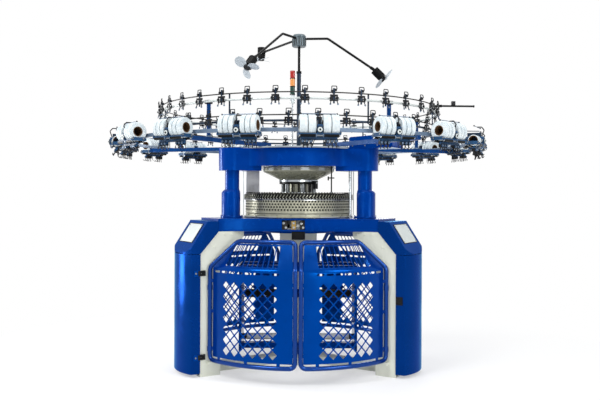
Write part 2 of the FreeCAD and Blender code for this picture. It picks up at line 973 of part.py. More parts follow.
# ---------------------------------------------------------------- knitting head


def ring(label, outer, inner, sides, base, height, inner_sides=None):
    piece = Piece(label)
    piece.prism(outer, sides, base, height)
    piece.bore(inner, inner_sides or sides, base, height)
    return piece


def lower_head():
    floor = "table_bottom + table_floor"
    lower = ring("main_bearing", "bearing_outer", "bearing_inner", "ring_sides", floor,
                 "gear_bottom - table_bottom - table_floor - gap")
    upper = ring("dial_bearing", "hub_tube", "dial_shaft + running_gap", "turned_sides",
                 "upper_room_floor", "dial_gear_bottom - upper_room_floor - gap")
    group("ring_bearings", [lower.body, upper.body])
    piece = Piece("needle_cylinder")
    base = "gear_bottom + gear_width"
    piece.prism("skirt_radius", "ring_sides", base, "skirt_top - gear_bottom - gear_width")
    piece.prism("cylinder_radius", "ring_sides", "skirt_top", "cylinder_top - skirt_top")
    piece.bore("cylinder_inner", "ring_sides", base, "cylinder_top - gear_bottom - gear_width")


def cam_section():
    """The saddle on its pedestals, the cam boxes on it and the yarn feeder ring on top."""
    saddle = Piece("cam_saddle")
    height = "saddle_top - saddle_bottom"
    saddle.prism("saddle_outer", "cam_sides", "saddle_bottom", height)
    saddle.bore("saddle_inner", "cam_sides", "saddle_bottom", height)
    base = "table_bottom + table_height + table_plate"
    lean = size["pedestal_angle"]
    for angle in (-lean, 0, lean, 180 - lean, 180, 180 + lean):
        plan = saddle.outline(
            "level",
            [
                ("0 - pedestal_half", "0 - saddle_outer + 14"),
                ("pedestal_half", "0 - saddle_outer + 14"),
                ("pedestal_half", "0 - saddle_inner - 18"),
                ("0 - pedestal_half", "0 - saddle_inner - 18"),
            ],
            base,
            angle,
        )
        saddle.pad(plan, "saddle_bottom - table_bottom - table_height - table_plate")
    boxes = Piece("cam_boxes")
    slope = math.tan(math.pi / number("cam_sides"))
    plan = boxes.outline(
        "level",
        [
            (share("cam_outer", -slope) + " + cam_split/2", "0 - cam_outer"),
            (share("cam_outer", slope) + " - cam_split/2", "0 - cam_outer"),
            (share("cam_inner", slope) + " - cam_split/2", "0 - cam_inner"),
            (share("cam_inner", -slope) + " + cam_split/2", "0 - cam_inner"),
        ],
        "saddle_top",
    )
    boxes.around([boxes.pad(plan, "cam_top - saddle_top")], "cam_sides")
    ring("feeder_ring", "feeder_outer", "feeder_inner", "cam_sides", "cam_top",
         "feeder_top - cam_top")
    fingers = Piece("yarn_feeders")
    across = math.tan(math.pi / number("cam_sides")) / 2
    for mark in (-1, 1):
        middle = share("feeder_outer", mark * across)
        plan = fingers.outline(
            "level",
            [
                (middle + " - finger_half", "0 - feeder_outer - gap - finger_depth"),
                (middle + " + finger_half", "0 - feeder_outer - gap - finger_depth"),
                (middle + " + finger_half", "0 - feeder_outer - gap"),
                (middle + " - finger_half", "0 - feeder_outer - gap"),
            ],
            "finger_low",
        )
        fingers.around([fingers.pad(plan, "finger_high - finger_low")], "cam_sides")


def upper_head():
    ring("dial", "dial_radius", "dial_shaft", "ring_sides", "dial_bottom", "dial_height",
         "turned_sides")
    shaft = Piece("dial_shaft")
    height = "dial_gear_bottom + gear_width - dial_bottom"
    shaft.prism("dial_shaft", "turned_sides", "dial_bottom", height)
    ring("dial_cam_plate", "dial_cam_radius", "dial_shaft + running_gap", "ring_sides",
         "dial_cam_bottom", "dial_cam_height", "turned_sides")
    low = number("dial_cam_bottom + dial_cam_height")
    bore = number("dial_shaft + running_gap")
    hub = [
        (bore, low),
        (size["hub_tube"], low),
        (size["hub_tube"], size["collar_bottom"]),
        (size["collar_radius"], size["collar_bottom"]),
        (size["collar_radius"], size["cone_bottom"]),
        (size["cone_rim"], size["rim_bottom"]),
        (size["cone_rim"], size["frame_bottom"]),
        (bore, size["frame_bottom"]),
    ]
    plain("hub_cone", turned(hub, int(size["ring_sides"])))
    columns = Piece("hub_columns", 15)
    foot = "dial_cam_bottom + dial_cam_height"
    column = columns.prism(
        "column_radius", "thin_sides", foot,
        "collar_bottom - dial_cam_bottom - dial_cam_height", ("0", "0 - column_circle"),
    )
    columns.around([column], "column_count")


# ---------------------------------------------------------------- posts and upper frame

POST_PLACE = ("0", "0 - post_circle")


def posts():
    piece = Piece("frame_posts", DRIVE_ANGLE)
    base = "table_bottom + table_height + table_plate"
    stages = (
        ("post_flange", base, "post_flange_height"),
        ("post_lower", base, "post_step - table_bottom - table_height - table_plate"),
        ("post_upper", base, "post_top - table_bottom - table_height - table_plate"),
    )
    stack = [piece.prism(r, "shaft_sides", low, height, POST_PLACE) for r, low, height in stages]
    piece.around(stack, "leg_count")


def upper_frame():
    piece = Piece("upper_frame", DRIVE_ANGLE)
    height = "frame_top - frame_bottom"
    piece.prism("frame_radius", "plate_sides", "frame_bottom", height)
    lobe = piece.outline(
        "level",
        [
            ("lobe_half", "0 - frame_radius/2"),
            ("0 - lobe_half", "0 - frame_radius/2"),
            ("0 - lobe_half", "0 - post_circle - 40"),
            ("0 - lobe_corner", "0 - post_circle - 115"),
            ("0 - lobe_corner/2", "0 - post_circle - 142"),
            ("lobe_corner/2", "0 - post_circle - 142"),
            ("lobe_corner", "0 - post_circle - 115"),
            ("lobe_half", "0 - post_circle - 40"),
        ],
        "frame_bottom",
    )
    piece.around([piece.pad(lobe, height)], "leg_count")
    boss = piece.prism(
        "boss_radius", "shaft_sides", "post_top", "frame_bottom - post_top", POST_PLACE
    )
    piece.around([boss], "leg_count")
    floor, depth = "upper_room_floor", "frame_top - upper_room_floor"
    piece.bore("gear_room", "ring_sides", floor, depth)
    piece.bore("pinion_room", "shaft_sides", floor, depth, SHAFT_PLACE)
    play = "shaft_radius + shaft_play"
    piece.bore(play, "shaft_sides", "frame_bottom", height, SHAFT_PLACE)
    piece.bore("dial_shaft + running_gap", "turned_sides", "frame_bottom", height)


def on_the_frame():
    plate = Piece("top_plate")
    plate.prism("top_plate_radius", "plate_sides", "frame_top", "top_plate_height")
    box = Piece("drive_cover", DRIVE_ANGLE)
    side = box.outline(
        "side",
        [
            ("0 - box_outer", "frame_top"),
            ("0 - box_inner", "frame_top"),
            ("0 - box_inner", "box_top"),
            ("0 - box_slope_start", "box_top"),
            ("0 - box_outer", "box_end_top"),
        ],
    )
    box.pad(side, "2*box_half", symmetric=True)
    room = box.outline(
        "side",
        [
            ("0 - box_outer + cover_sheet", "frame_top - 5"),
            ("0 - box_inner - cover_sheet", "frame_top - 5"),
            ("0 - box_inner - cover_sheet", "box_top - cover_sheet"),
            ("0 - box_slope_start", "box_top - cover_sheet"),
            ("0 - box_outer + cover_sheet", "box_end_top - cover_sheet"),
        ],
    )
    box.pocket(room, "2*box_half - 2*cover_sheet", symmetric=True)
    panel = Piece("control_box", PANEL_ANGLE)
    for half, depth, low, high in (
        ("panel_half", "panel_depth/2", "panel_bottom", "panel_top"),
        ("panel_half/4", "panel_depth/4", "panel_top", "frame_bottom"),
    ):
        inner = f"0 - panel_circle + {depth}"
        if half != "panel_half":
            inner = "0 - frame_radius + panel_depth"
        plan = panel.outline(
            "level",
            [
                (f"0 - {half}", f"0 - panel_circle - {depth}"),
                (half, f"0 - panel_circle - {depth}"),
                (half, inner),
                (f"0 - {half}", inner),
            ],
            low,
        )
        panel.pad(plan, f"{high} - {low}")


# ---------------------------------------------------------------- creel


def ring_reach(angle, half, eight_sided):
    """Where an upright inside both tiers' rings stands: a post's centre, or a bar's face."""
    step = 360.0 / size["creel_sides"]
    reaches = []
    for tier in ("upper_first", "lower_first"):
        off = math.radians(abs((angle - size[tier] + step / 2) % step - step / 2))
        room = half / math.cos(math.pi / 8) if eight_sided else half * math.sin(off)
        reaches.append((size["tier_inner"] - size["gap"] - room) / math.cos(off))
    return min(reaches)


def creel_frame():
    low = "frame_top + top_plate_height"
    arms = Piece("creel_arms", ARM_ANGLES[0])
    plan = arms.outline(
        "level",
        [
            ("0 - arm_half", "0 - arm_outer"),
            ("arm_half", "0 - arm_outer"),
            ("arm_half", "0 - arm_inner"),
            ("0 - arm_half", "0 - arm_inner"),
        ],
        low,
    )
    bar = arms.pad(plan, "arm_height")
    pattern = arms.new("PartDesign::PolarPattern")
    pattern.Originals = [bar]
    pattern.Axis = (arms.origin("Z_Axis"), [""])
    pattern.Angle = 360
    pattern.Occurrences = len(ARM_ANGLES)
    arms.body.Tip = pattern
    arms.settle(pattern, False)
    top = number(low + " + arm_height")
    uprights = []
    for angle in ARM_ANGLES:
        out = ring_reach(angle, size["creel_post_radius"], 1)
        foot, head = at(angle, out, top), at(angle, out, number("upper_tube_low + tube_height"))
        uprights.append(pipe([foot, head], size["creel_post_radius"], 8))
    half = size["upright_width"] / 2
    for angle in UPRIGHT_ANGLES:
        reach = ring_reach(angle, half, 0)
        span = (size["lower_tube_low"], number("upper_rod_low + rod_height"))
        uprights += copies(block((-half, half), (reach - 2 * half, reach), span), [angle])
    posts_made = plain("creel_uprights", Part.makeCompound(uprights))
    group("creel_frame", [arms.body, posts_made])
    spools = Piece("spool_ring")
    base = low + " + arm_height"
    outer = "spool_ring_inner + spool_ring_width"
    turn = size["device_first"]
    spools.prism(outer, "creel_sides", base, "spool_ring_height", first=turn)
    spools.bore("spool_ring_inner", "creel_sides", base, "spool_ring_height", first=turn)
    rings = []
    for tier in ("upper", "lower"):
        turn = size[tier + "_first"]
        for kind, inner in (("tube", "tier_inner"), ("rod", "tier_outer - rod_width")):
            piece = Piece(f"{tier}_{kind}")
            base = f"{tier}_{kind}_low"
            height = kind + "_height"
            piece.prism("tier_outer", "creel_sides", base, height, first=turn)
            piece.bore(inner, "creel_sides", base, height, first=turn)
            rings.append(piece.body)
    group("guide_rings", rings)


def yarn_guides():
    """Clamps on the outside of each tier's rings, two to a flat, wider at the eye below."""
    tiers = []
    across = share("tier_outer", math.tan(math.radians(size["guide_spread"])))
    for tier in ("upper", "lower"):
        low = tier + "_guide_low"
        piece = Piece(tier + "_guides", size[tier + "_first"])
        for base in (across, opposite(across)):
            side = piece.outline(
                "side",
                [
                    ("0 - tier_outer - 32", f"{low} + 20"),
                    ("0 - tier_outer - gap", low),
                    ("0 - tier_outer - gap", f"{low} + guide_height"),
                    ("0 - tier_outer - 14", f"{low} + guide_height - 8"),
                ],
                base,
            )
            piece.around([piece.pad(side, "2*guide_half", symmetric=True)], "creel_sides")
        tiers.append(piece.body)
    group("yarn_guides", tiers)


def elastane_devices():
    """Drive heads on the spool ring, each with two rollers, two bobbins and a guide comb."""
    first = size["device_first"]
    heads = Piece("device_heads", first)
    face = "0 - spool_ring_inner - spool_ring_width - gap"
    side = heads.outline(
        "side",
        [
            ("0 - head_outer", "head_bottom"),
            (face, "head_bottom"),
            (face, "head_top - 20"),
            (face + " - 20", "head_top"),
            ("0 - head_outer", "head_top - 30"),
        ],
    )
    heads.around([heads.pad(side, "2*head_half", symmetric=True)], "device_count")
    angles = evenly(size["device_count"], first)
    half = size["roller_half"]
    height = number("head_bottom - roller_drop")
    rollers = []
    for offset in (-size["roller_spread"], size["roller_spread"]):
        out = size["bobbin_circle"] + offset
        ends = [Vector(-half, -out, height), Vector(half, -out, height)]
        rollers.append(bar_across(ends, size["roller_radius"], 6, 0.0))
    shapes = [copy for roller in rollers for copy in copies(roller, angles)]
    plain("feed_rollers", Part.makeCompound(shapes))
    reach = number("bobbin_radius + roller_radius + gap")
    centre = height + math.sqrt(reach**2 - size["roller_spread"] ** 2)
    bobbins = []
    inner = number("head_half + bobbin_play")
    for start in (inner, -inner - size["bobbin_length"]):
        ends = [
            Vector(start, -size["bobbin_circle"], centre),
            Vector(start + size["bobbin_length"], -size["bobbin_circle"], centre),
        ]
        bobbins += copies(bar_across(ends, size["bobbin_radius"], 12, 0.5), angles)
    plain("bobbins", Part.makeCompound(bobbins))
    combs = Piece("guide_combs", first)
    corners = [
        ("head_half", "head_bottom - gap"),
        ("0 - head_half", "head_bottom - gap"),
        ("0 - head_half", "comb_top"),
        ("0 - comb_half", "comb_top"),
        ("0 - comb_half", "comb_low"),
        ("0 - comb_half + comb_tooth", "comb_root"),
        ("comb_half - comb_tooth", "comb_root"),
        ("comb_half", "comb_low"),
        ("comb_half", "comb_top"),
        ("head_half", "comb_top"),
    ]
    plate = combs.outline("front", corners, "bobbin_circle - comb_sheet/2")
    combs.around([combs.pad(plate, "comb_sheet")], "device_count")


def bar_across(ends, radius, sides, lean):
    """A many-sided bar along X whose flats, or with lean 0 its corners, are at top and bottom."""
    reach = radius / math.cos(math.pi / sides)
    rings = []
    for end in ends:
        turns = [2 * math.pi * (i + lean) / sides for i in range(sides)]
        rings.append(
            [end.add(Vector(0, reach * math.sin(t), reach * math.cos(t))) for t in turns]
        )
    return solid_between(rings, False)


# ---------------------------------------------------------------- mast, lamp and lint blower


def mast_and_lamp():
    base = "frame_top + top_plate_height"
    mast = Piece("mast")
    mast.prism("mast_flange", "shaft_sides", base, "mast_flange_height")
    mast.prism("mast_radius", "shaft_sides", base, "mast_step - frame_top - top_plate_height")
    mast.prism("mast_thin", "shaft_sides", "mast_step", "mast_top - mast_step")
    spot = ("0 - lamp_side", "0 - lamp_side")
    pole = Piece("lamp_pole")
    height = "lamp_bottom - frame_top - top_plate_height"
    pole.prism("lamp_pole", "thin_sides", base, height, spot)
    lenses = []
    for i in range(int(size["lamp_count"])):
        lens = Piece(f"lamp_lens_{i}")
        base = f"lamp_bottom + {i}*lamp_segment"
        lens.prism("lamp_radius", "shaft_sides", base, "lamp_segment", spot)
        lenses.append(lens.body)
    group("lamp_lenses", lenses)


def fan_face(name):
    """Centre of a fan motor's outlet face and the way its air goes, drawn facing the front."""
    if name == "back":
        low = size["blower_arm_height"] - size["fan_motor_length"] / 2
        return Vector(0, -size["fan_back_reach"], low), Vector(0, 0, -1)
    return Vector(0, -size["fan_reach"], size["fan_height"]), Vector(0, -1, -1).normalize()


def lint_blower():
    height = size["blower_arm_height"]
    low = number("mast_top + gap")
    section = [
        (0, low),
        (size["blower_hub"], low),
        (size["blower_hub"], low + size["blower_hub_height"] - 16),
        (size["blower_hub"] - 12, low + size["blower_hub_height"]),
        (0, low + size["blower_hub_height"]),
    ]
    carrier = turned(section, int(size["turned_sides"]))
    arms = []
    motors = []
    for name, angle in FAN_ANGLES.items():
        face, flow = fan_face(name)
        back = face.sub(Vector(flow).multiply(size["fan_motor_length"]))
        start = Vector(0, -size["blower_hub"] + 8, height)
        if name == "back":
            end = Vector(0, face.y + size["fan_motor_radius"], height)
            route = [start, end]
        else:
            route = [start, Vector(0, -size["blower_bend"], height), back]
        motor = pipe([back, face], size["fan_motor_radius"], 12)
        arms += copies(pipe(route, size["blower_arm_radius"], 8).cut(motor), [angle])
        motors += copies(motor, [angle])
        blades = fan_blades(face.add(Vector(flow).multiply(size["fan_play"])), flow)
        plain(f"fan_{name}", blades, angle)
    plain("blower_carrier", carrier.fuse(arms).removeSplitter())
    plain("fan_motors", Part.makeCompound(motors))


def fan_blades(centre, flow):
    """Three broad petals around a small core, facing along flow."""
    inner, reach = size["fan_core"] * 0.6, size["fan_radius"]
    core = turned([(0, 0), (size["fan_core"], 0), (size["fan_core"], size["fan_core_height"]),
                   (0, size["fan_core_height"])], 8)
    petal_points = [
        Vector(inner, -16, 0),
        Vector(reach * 0.66, -44, 0),
        Vector(reach * 0.97, -20, 0),
        Vector(reach * 0.97, 20, 0),
        Vector(reach * 0.66, 44, 0),
        Vector(inner, 16, 0),
    ]
    outline = Part.Face(Part.makePolygon(petal_points + petal_points[:1]))
    petal = outline.extrude(Vector(0, 0, size["fan_sheet"]))
    petal.rotate(Vector(0, 0, 0), Vector(1, 0, 0), size["fan_tilt"])
    petal.translate(Vector(0, 0, size["fan_core_height"] / 2))
    fan = core.fuse(copies(petal, (0, 120, 240))).removeSplitter()
    fan.Placement = FreeCAD.Placement(centre, FreeCAD.Rotation(UP, flow))
    return fan


# ---------------------------------------------------------------- gates and guards


def tube_section(radius, height, sides=8):
    reach = size["tube_radius"] / math.cos(math.pi / sides)
    turns = [math.pi / 2 + 2 * math.pi * (i + 0.5) / sides for i in range(sides)]
    return [(radius + reach * math.cos(t), height + reach * math.sin(t)) for t in turns]


def fold_angles(first, near, far, last, count):
    """Directions where the sheet is folded: its ends, and evenly across the window."""
    return [first] + [near + (far - near) * i / count for i in range(int(count) + 1)] + [last]


def tube_frame(folds, corners, sides=8):
    """Rails along the folds and uprights at both ends, which lean in to the corners."""
    tube = size["tube_radius"]
    low, top = size["gate_bottom"] + tube, size["gate_top"] - tube
    radius, top_radius, bend = number("gate_radius"), number("gate_top_radius"), size["gate_bend"]
    between = [angle for angle in folds if corners[0] + 1 < angle < corners[1] - 1]
    bottom_rail = folded(tube_section(radius, low, sides), folds)
    upper_folds = [corners[0], *between, corners[1]]
    bars = [folded(tube_section(top_radius, top, sides), upper_folds)]
    for angle, corner in zip((folds[0], folds[-1]), corners):
        foot = at(angle, radius, size["gate_bottom"])
        knee = at(angle, radius, bend)
        end = at(corner, top_radius, top)
        beyond = end.add(end.sub(knee).normalize().multiply(tube * 0.6))
        bars.append(pipe([foot, knee, beyond], tube, sides))
    return bottom_rail.fuse(bars).removeSplitter()


def bent_sheet(folds):
    """Sheet on the gates' curve up to the bend, then leaning in."""
    half = size["sheet_thickness"] / 2
    low = number("gate_bottom + 2*tube_radius")
    bend = size["gate_bend"]
    top = number("gate_top - 2*tube_radius")
    rise = number("gate_top - tube_radius - gate_bend")
    lean = number("gate_radius - gate_top_radius") / rise
    radius = number("gate_radius")
    top_radius = radius - lean * (top - bend)
    section = [
        (radius + half, low),
        (radius + half, bend),
        (top_radius + half, top),
        (top_radius - half, top),
        (radius - half, bend),
        (radius - half, low),
    ]
    return folded(section, folds)


def diamond_holes(near, far, columns, rows):
    """Diamond holes in staggered rows across the window, as radial prisms."""
    radius, bar = number("gate_radius"), size["mesh_bar"]
    low, high = size["window_low"], size["window_high"]
    width = (far - near) / columns
    height = (high - low) / rows
    half_width = math.radians(width / 2) * radius - bar / 2
    half_height = half_width * height / (math.radians(width) * radius)
    half_height = min(half_height, height / 2 - bar / 2)
    holes = []
    for j in range(int(2 * rows) - 1):
        middle = low + (j + 1) * height / 2
        count = int(columns) - j % 2
        for i in range(count):
            angle = near + (far - near) * (i + 0.5 + 0.5 * (j % 2)) / columns
            corners = [
                Vector(half_width, 30 - radius, middle),
                Vector(0, 30 - radius, middle + half_height),
                Vector(-half_width, 30 - radius, middle),
                Vector(0, 30 - radius, middle - half_height),
            ]
            prism = Part.Face(Part.makePolygon(corners + corners[:1])).extrude(Vector(0, -60, 0))
            holes += copies(prism, [angle])
    return holes


def upright_slots(near, far, count):
    """Upright slots side by side in the leaning part of the sheet."""
    pitch = (far - near) / count
    middle_radius = (number("gate_radius") + number("gate_top_radius")) / 2
    half = math.radians(pitch) * middle_radius / 2 - size["slot_bar"] / 2
    spans = (size["slot_low"], size["slot_high"])
    slot = block((-half, half), (number("gate_top_radius") - 60, number("gate_radius") + 40), spans)
    return copies(slot, [near + (i + 0.5) * pitch for i in range(int(count))])


def outer_corner():
    """What the leaning outer upright cuts off the sheet above the bend."""
    start = at(GATE_END, number("gate_radius"), size["gate_bend"])
    end = at(size["gate_corner"], number("gate_top_radius"), number("gate_top - tube_radius"))
    along = end.sub(start).normalize()
    outward = at(GATE_END, 1.0)
    away = along.cross(outward).normalize()
    if away.dot(at(GATE_END + 90, 1.0)) < 0:
        away = away.opposite()
    inset = Vector(away).multiply(-size["tube_radius"] * 1.25)
    corners = []
    for along_way, away_way in ((-60, 0), (700, 0), (700, 600), (-60, 600)):
        shift = Vector(along).multiply(along_way).add(Vector(away).multiply(away_way))
        corners.append(start.add(inset).add(shift))
    normal = along.cross(away).normalize().multiply(300)
    face = Part.Face(Part.makePolygon([c.sub(normal) for c in corners + corners[:1]]))
    slab = face.extrude(Vector(normal).multiply(2))
    above = block((-2000, 2000), (0, 2000), (size["gate_bend"] + 4, 2000))
    return slab.common(above)


def gates():
    near, far = size["window_near"], size["window_far"]
    first, last = size["gate_middle"], GATE_END
    folds = fold_angles(first, near, far, last, size["mesh_columns"])
    beside = number("gate_radius") * math.sin(math.radians(first))
    first_corner = math.degrees(math.asin(beside / number("gate_top_radius")))
    frame = tube_frame(folds, (first_corner, size["gate_corner"]))
    margin = size["sheet_margin"]
    sheet_folds = [first + margin] + folds[1:-1] + [last - margin]
    holes = diamond_holes(near, far, size["mesh_columns"], size["mesh_rows"])
    holes += upright_slots(size["slot_near"], size["slot_far"], size["slot_count"])
    holes.append(outer_corner())
    panel = bent_sheet(sheet_folds).cut(holes)
    plain("gate_frame_right", frame)
    plain("gate_frame_left", mirrored(frame))
    plain("gate_panel_right", panel)
    plain("gate_panel_left", mirrored(panel))


def rear_guards():
    """Fixed guards in the two rear bays: one curved sheet with its window in a tube frame."""
    end, corner = GATE_END, size["gate_corner"]
    count = size["guard_columns"]
    folds = [end * (2 * i / count - 1) for i in range(int(count) + 1)]
    frame = tube_frame(folds, (-corner, corner), 6)
    margin = size["sheet_margin"]
    sheet_folds = [folds[0] + margin] + folds[1:-1] + [folds[-1] - margin]
    holes = diamond_holes(folds[1], folds[-2], count - 2, size["guard_rows"])
    holes += [outer_corner(), mirrored(outer_corner())]
    guard = bent_sheet(sheet_folds).cut(holes)
    sides = []
    for angle in (120, -120):
        sides += copies(frame, [angle]) + copies(guard, [angle])
    plain("rear_guards", Part.makeCompound(sides))


# ---------------------------------------------------------------- take-down


def take_down():
    """The rotating frame that pulls the cloth down and winds it up below the cylinder."""
    inner, thick = size["side_gap"], size["side_sheet"]
    low, top = size["side_bottom"], size["side_top"]
    half_side = size["side_half"]
    hanger_low = number("gear_bottom - hanger_drop")
    ring_shape = turned(
        [
            (size["hanger_inner"], hanger_low),
            (size["hanger_outer"], hanger_low),
            (size["hanger_outer"], size["gear_bottom"]),
            (size["hanger_inner"], size["gear_bottom"]),
        ],
        int(size["ring_sides"]),
    )
    parts = []
    plate = block((inner, inner + thick), (-half_side, half_side), (low, top))
    bar = size["strut_half"]
    middle = (size["hanger_inner"] + size["hanger_outer"]) / 2
    for spread in (-size["strut_spread"], size["strut_spread"]):
        head_x = math.sqrt(middle**2 - spread**2)
        corners = [
            Vector(inner + thick / 2 - bar, spread - bar, top - 5),
            Vector(inner + thick / 2 + bar, spread - bar, top - 5),
            Vector(head_x + bar, spread - bar, hanger_low + 5),
            Vector(head_x - bar, spread - bar, hanger_low + 5),
        ]
        face = Part.Face(Part.makePolygon(corners + corners[:1]))
        parts.append(face.extrude(Vector(0, 2 * bar, 0)))
    parts.append(plate)
    parts += [mirrored(part) for part in parts]
    half, rise = size["beam_half"], size["beam_height"]
    parts.append(block((-inner - 1, inner + 1), (-half, half), (low, low + rise)))
    pivot_low = number("base_height + gap")
    pivot = [(0, pivot_low), (size["pivot_radius"], pivot_low), (size["pivot_radius"], low + 1),
             (0, low + 1)]
    parts.append(turned(pivot, int(size["turned_sides"])))
    width, height = size["crossbar_width"], size["crossbar_height"]
    for mark in (-1, 1):
        depth = sorted((mark * (half_side - width), mark * half_side))
        parts.append(block((-inner - 1, inner + 1), depth, (top - height, top)))
    plain("takedown_frame", ring_shape.fuse(parts).removeSplitter())
    reach = inner - size["gap"]
    for label, radius, spread, height in (
        ("nip_roller_front", "nip_radius", -size["nip_spread"], size["nip_height"]),
        ("nip_roller_rear", "nip_radius", size["nip_spread"], size["nip_height"]),
        ("cloth_roll", "cloth_radius", 0, size["cloth_height"]),
    ):
        ends = [Vector(-reach, spread, height), Vector(reach, spread, height)]
        plain(label, bar_across(ends, size[radius], 16, 0.5))


# ---------------------------------------------------------------- all pieces

leg_frames()
for name, leg_angle in LEG_ANGLES.items():
    leg_door(f"leg_door_{name}", leg_angle)
leg_caps()
door_fittings()
floor_base()
machine_table()
table_top()
gate_stop()
gears()
drive()
lower_head()
cam_section()
upper_head()
posts()
upper_frame()
on_the_frame()
creel_frame()
yarn_guides()
elastane_devices()
mast_and_lamp()
lint_blower()
gates()
rear_guards()
take_down()

doc.recompute()
for thing in doc.Objects:
    if "Invalid" in thing.State or "Error" in thing.State:
        raise ValueError(f"{thing.Label} is {thing.State}")
for node in nodes:
    if node.Shape.isNull() or not node.Shape.isValid() or not node.Shape.Solids:
        raise ValueError(f"{node.Label} has no valid solid")

os.makedirs("parts", exist_ok=True)
for node in nodes:
    node.Shape.exportStep(os.path.join("parts", node.Label + ".step"))
print(len(nodes), "sub-parts,", sum(len(node.Shape.Solids) for node in nodes), "solids")
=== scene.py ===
"""Looks of the circular knitting machine, built round its packed construction.

Lengths are millimetres in the machine's own frame and become metres in the meshes. A direction
around the machine is an angle about +Z from the front (-Y), positive towards +X; R is the distance
from the axis. A form is drawn facing the front and then turned to its place.
"""

import bmesh
import bpy
import math
from mathutils import Matrix, Vector
from mathutils.geometry import delaunay_2d_cdt


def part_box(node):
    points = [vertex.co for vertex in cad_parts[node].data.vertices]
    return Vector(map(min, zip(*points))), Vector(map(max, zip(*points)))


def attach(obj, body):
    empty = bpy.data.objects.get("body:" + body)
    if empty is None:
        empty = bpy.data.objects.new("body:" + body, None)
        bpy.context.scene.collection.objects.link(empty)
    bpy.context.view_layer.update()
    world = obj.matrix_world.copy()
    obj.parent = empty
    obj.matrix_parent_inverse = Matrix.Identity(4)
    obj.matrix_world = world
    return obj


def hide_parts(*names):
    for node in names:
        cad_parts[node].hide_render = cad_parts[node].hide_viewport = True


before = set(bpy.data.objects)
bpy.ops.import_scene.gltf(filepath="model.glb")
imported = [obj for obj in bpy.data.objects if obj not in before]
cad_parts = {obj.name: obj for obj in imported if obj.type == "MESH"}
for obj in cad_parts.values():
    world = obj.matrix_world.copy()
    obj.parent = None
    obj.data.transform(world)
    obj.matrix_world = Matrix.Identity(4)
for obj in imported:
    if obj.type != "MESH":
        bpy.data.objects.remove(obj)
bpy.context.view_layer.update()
bpy.context.scene.view_settings.view_transform = "Standard"

MM = 0.001
LEGS = (-60, 60, 180)
LEGS_AROUND = (60, 180, 300)
ARMS = (-108, -36, 36, 108, 180)
UPRIGHTS = (-146, -86, -26, 26, 86, 146)
DRIVE, PANEL = 60, -120

# legs, covers and table
LEG_IN, LEG_OUT, LEG_HALF, WALL = 880, 1067, 190, 12
LEG_SCREWS = ((939, 1000), (939, 1100), (700, 1205), (770, 1205), (840, 1205))
COVER_HALF, COVER_SIDE, COVER_ROUND, SHEET = 200, 1150, 467, 4
SEAM, CAP_TOP, CAP_TOP_OUT, CAP_OUT = 1040, 1320, 1003, 1185
TABLE_LOW, TABLE_HIGH, TABLE_TOP, TABLE_FLAT, ARM_OUT = 1229, 1328, 1340, 550, 903
SHAFT_OUT, MOTOR_OUT, WHEEL, MOTOR_WHEEL = 540, 979, 78, 39
# gates
GATE_R, GATE_TOP_R, TUBE = 1010, 830, 19
GATE_LOW, GATE_BEND, GATE_TOP, GATE_END, BEND_HALF = 129, 930, 1172, 47.7, 17
RISE, FALL = GATE_TOP - TUBE - GATE_BEND, GATE_R - GATE_TOP_R
RUN = math.hypot(RISE, FALL)
SHEET_ROWS = tuple(GATE_BEND + BEND_HALF * share for share in (-1, -0.5, 0, 0.5, 1))
DEGREE = math.radians(1) * GATE_R
# head
CAMS, CAM_LOW, CAM_TOP, FEEDER_TOP = 108, 1400, 1502, 1560
FRAME_LOW, FRAME_TOP, FRAME_R, LOBE, FILLET = 1803, 1960, 540, 116, 75
POST_R = 690
POST_LEVELS = ((TABLE_TOP + 20, 86, 8), (TABLE_TOP + 24, 84, 8), (1562, 84, 8), (1578, 78, 4),
               (1594, 64, -4), (1761, 64, -4))
OIL_R, OIL_TURN, HOOP_R, HOOP_LOW = 470, 38.6, 518, 1350
# creel
DECK, BAR_TOP = 1972, 2008
RING_R, TIER_R, GUIDE_R = 1560, 1265, 1277.4
DEVICES, DEVICE_FIRST, SPENT_DEVICES = 18, 5, (65, 85, 265, 285)
FULL, SPENT = 75.0, 45.0
BOBBIN_R, BOBBIN_Z, ROLLER_GAP, ROLLER = 1660, 2045.7, 45, 13
ROLLER_Z = BOBBIN_Z - math.sqrt((75.2 + ROLLER) ** 2 - ROLLER_GAP ** 2)
ROLLER_LINES = (BOBBIN_R - ROLLER_GAP, BOBBIN_R + ROLLER_GAP)
SIDE_TURN, ROD_OUT, ROD_END, ROD_Z, PIN_Z = 93, 1269, 1676, 2400, 2163
# lint blower: each fan's direction, the outlet of its motor and the way its air goes
BLOWER_LOW, BLOWER_Z, MOTOR_LONG = 2941.3, 3017, 113
FANS = {
    "right": (86, (0, -785, 2640), (0, -1, -1)),
    "left": (-34, (0, -785, 2640), (0, -1, -1)),
    "back": (-150, (0, -780, BLOWER_Z - 56.5), (0, 0, -1)),
}


# ------------------------------------------------------------ forms


def at(angle, radius, height=0.0, side=0.0):
    turn = math.radians(angle)
    return Vector((side * math.cos(turn) + radius * math.sin(turn),
                   side * math.sin(turn) - radius * math.cos(turn), height))


def evenly(count, first=0.0):
    return [first + 360.0 * i / count for i in range(count)]


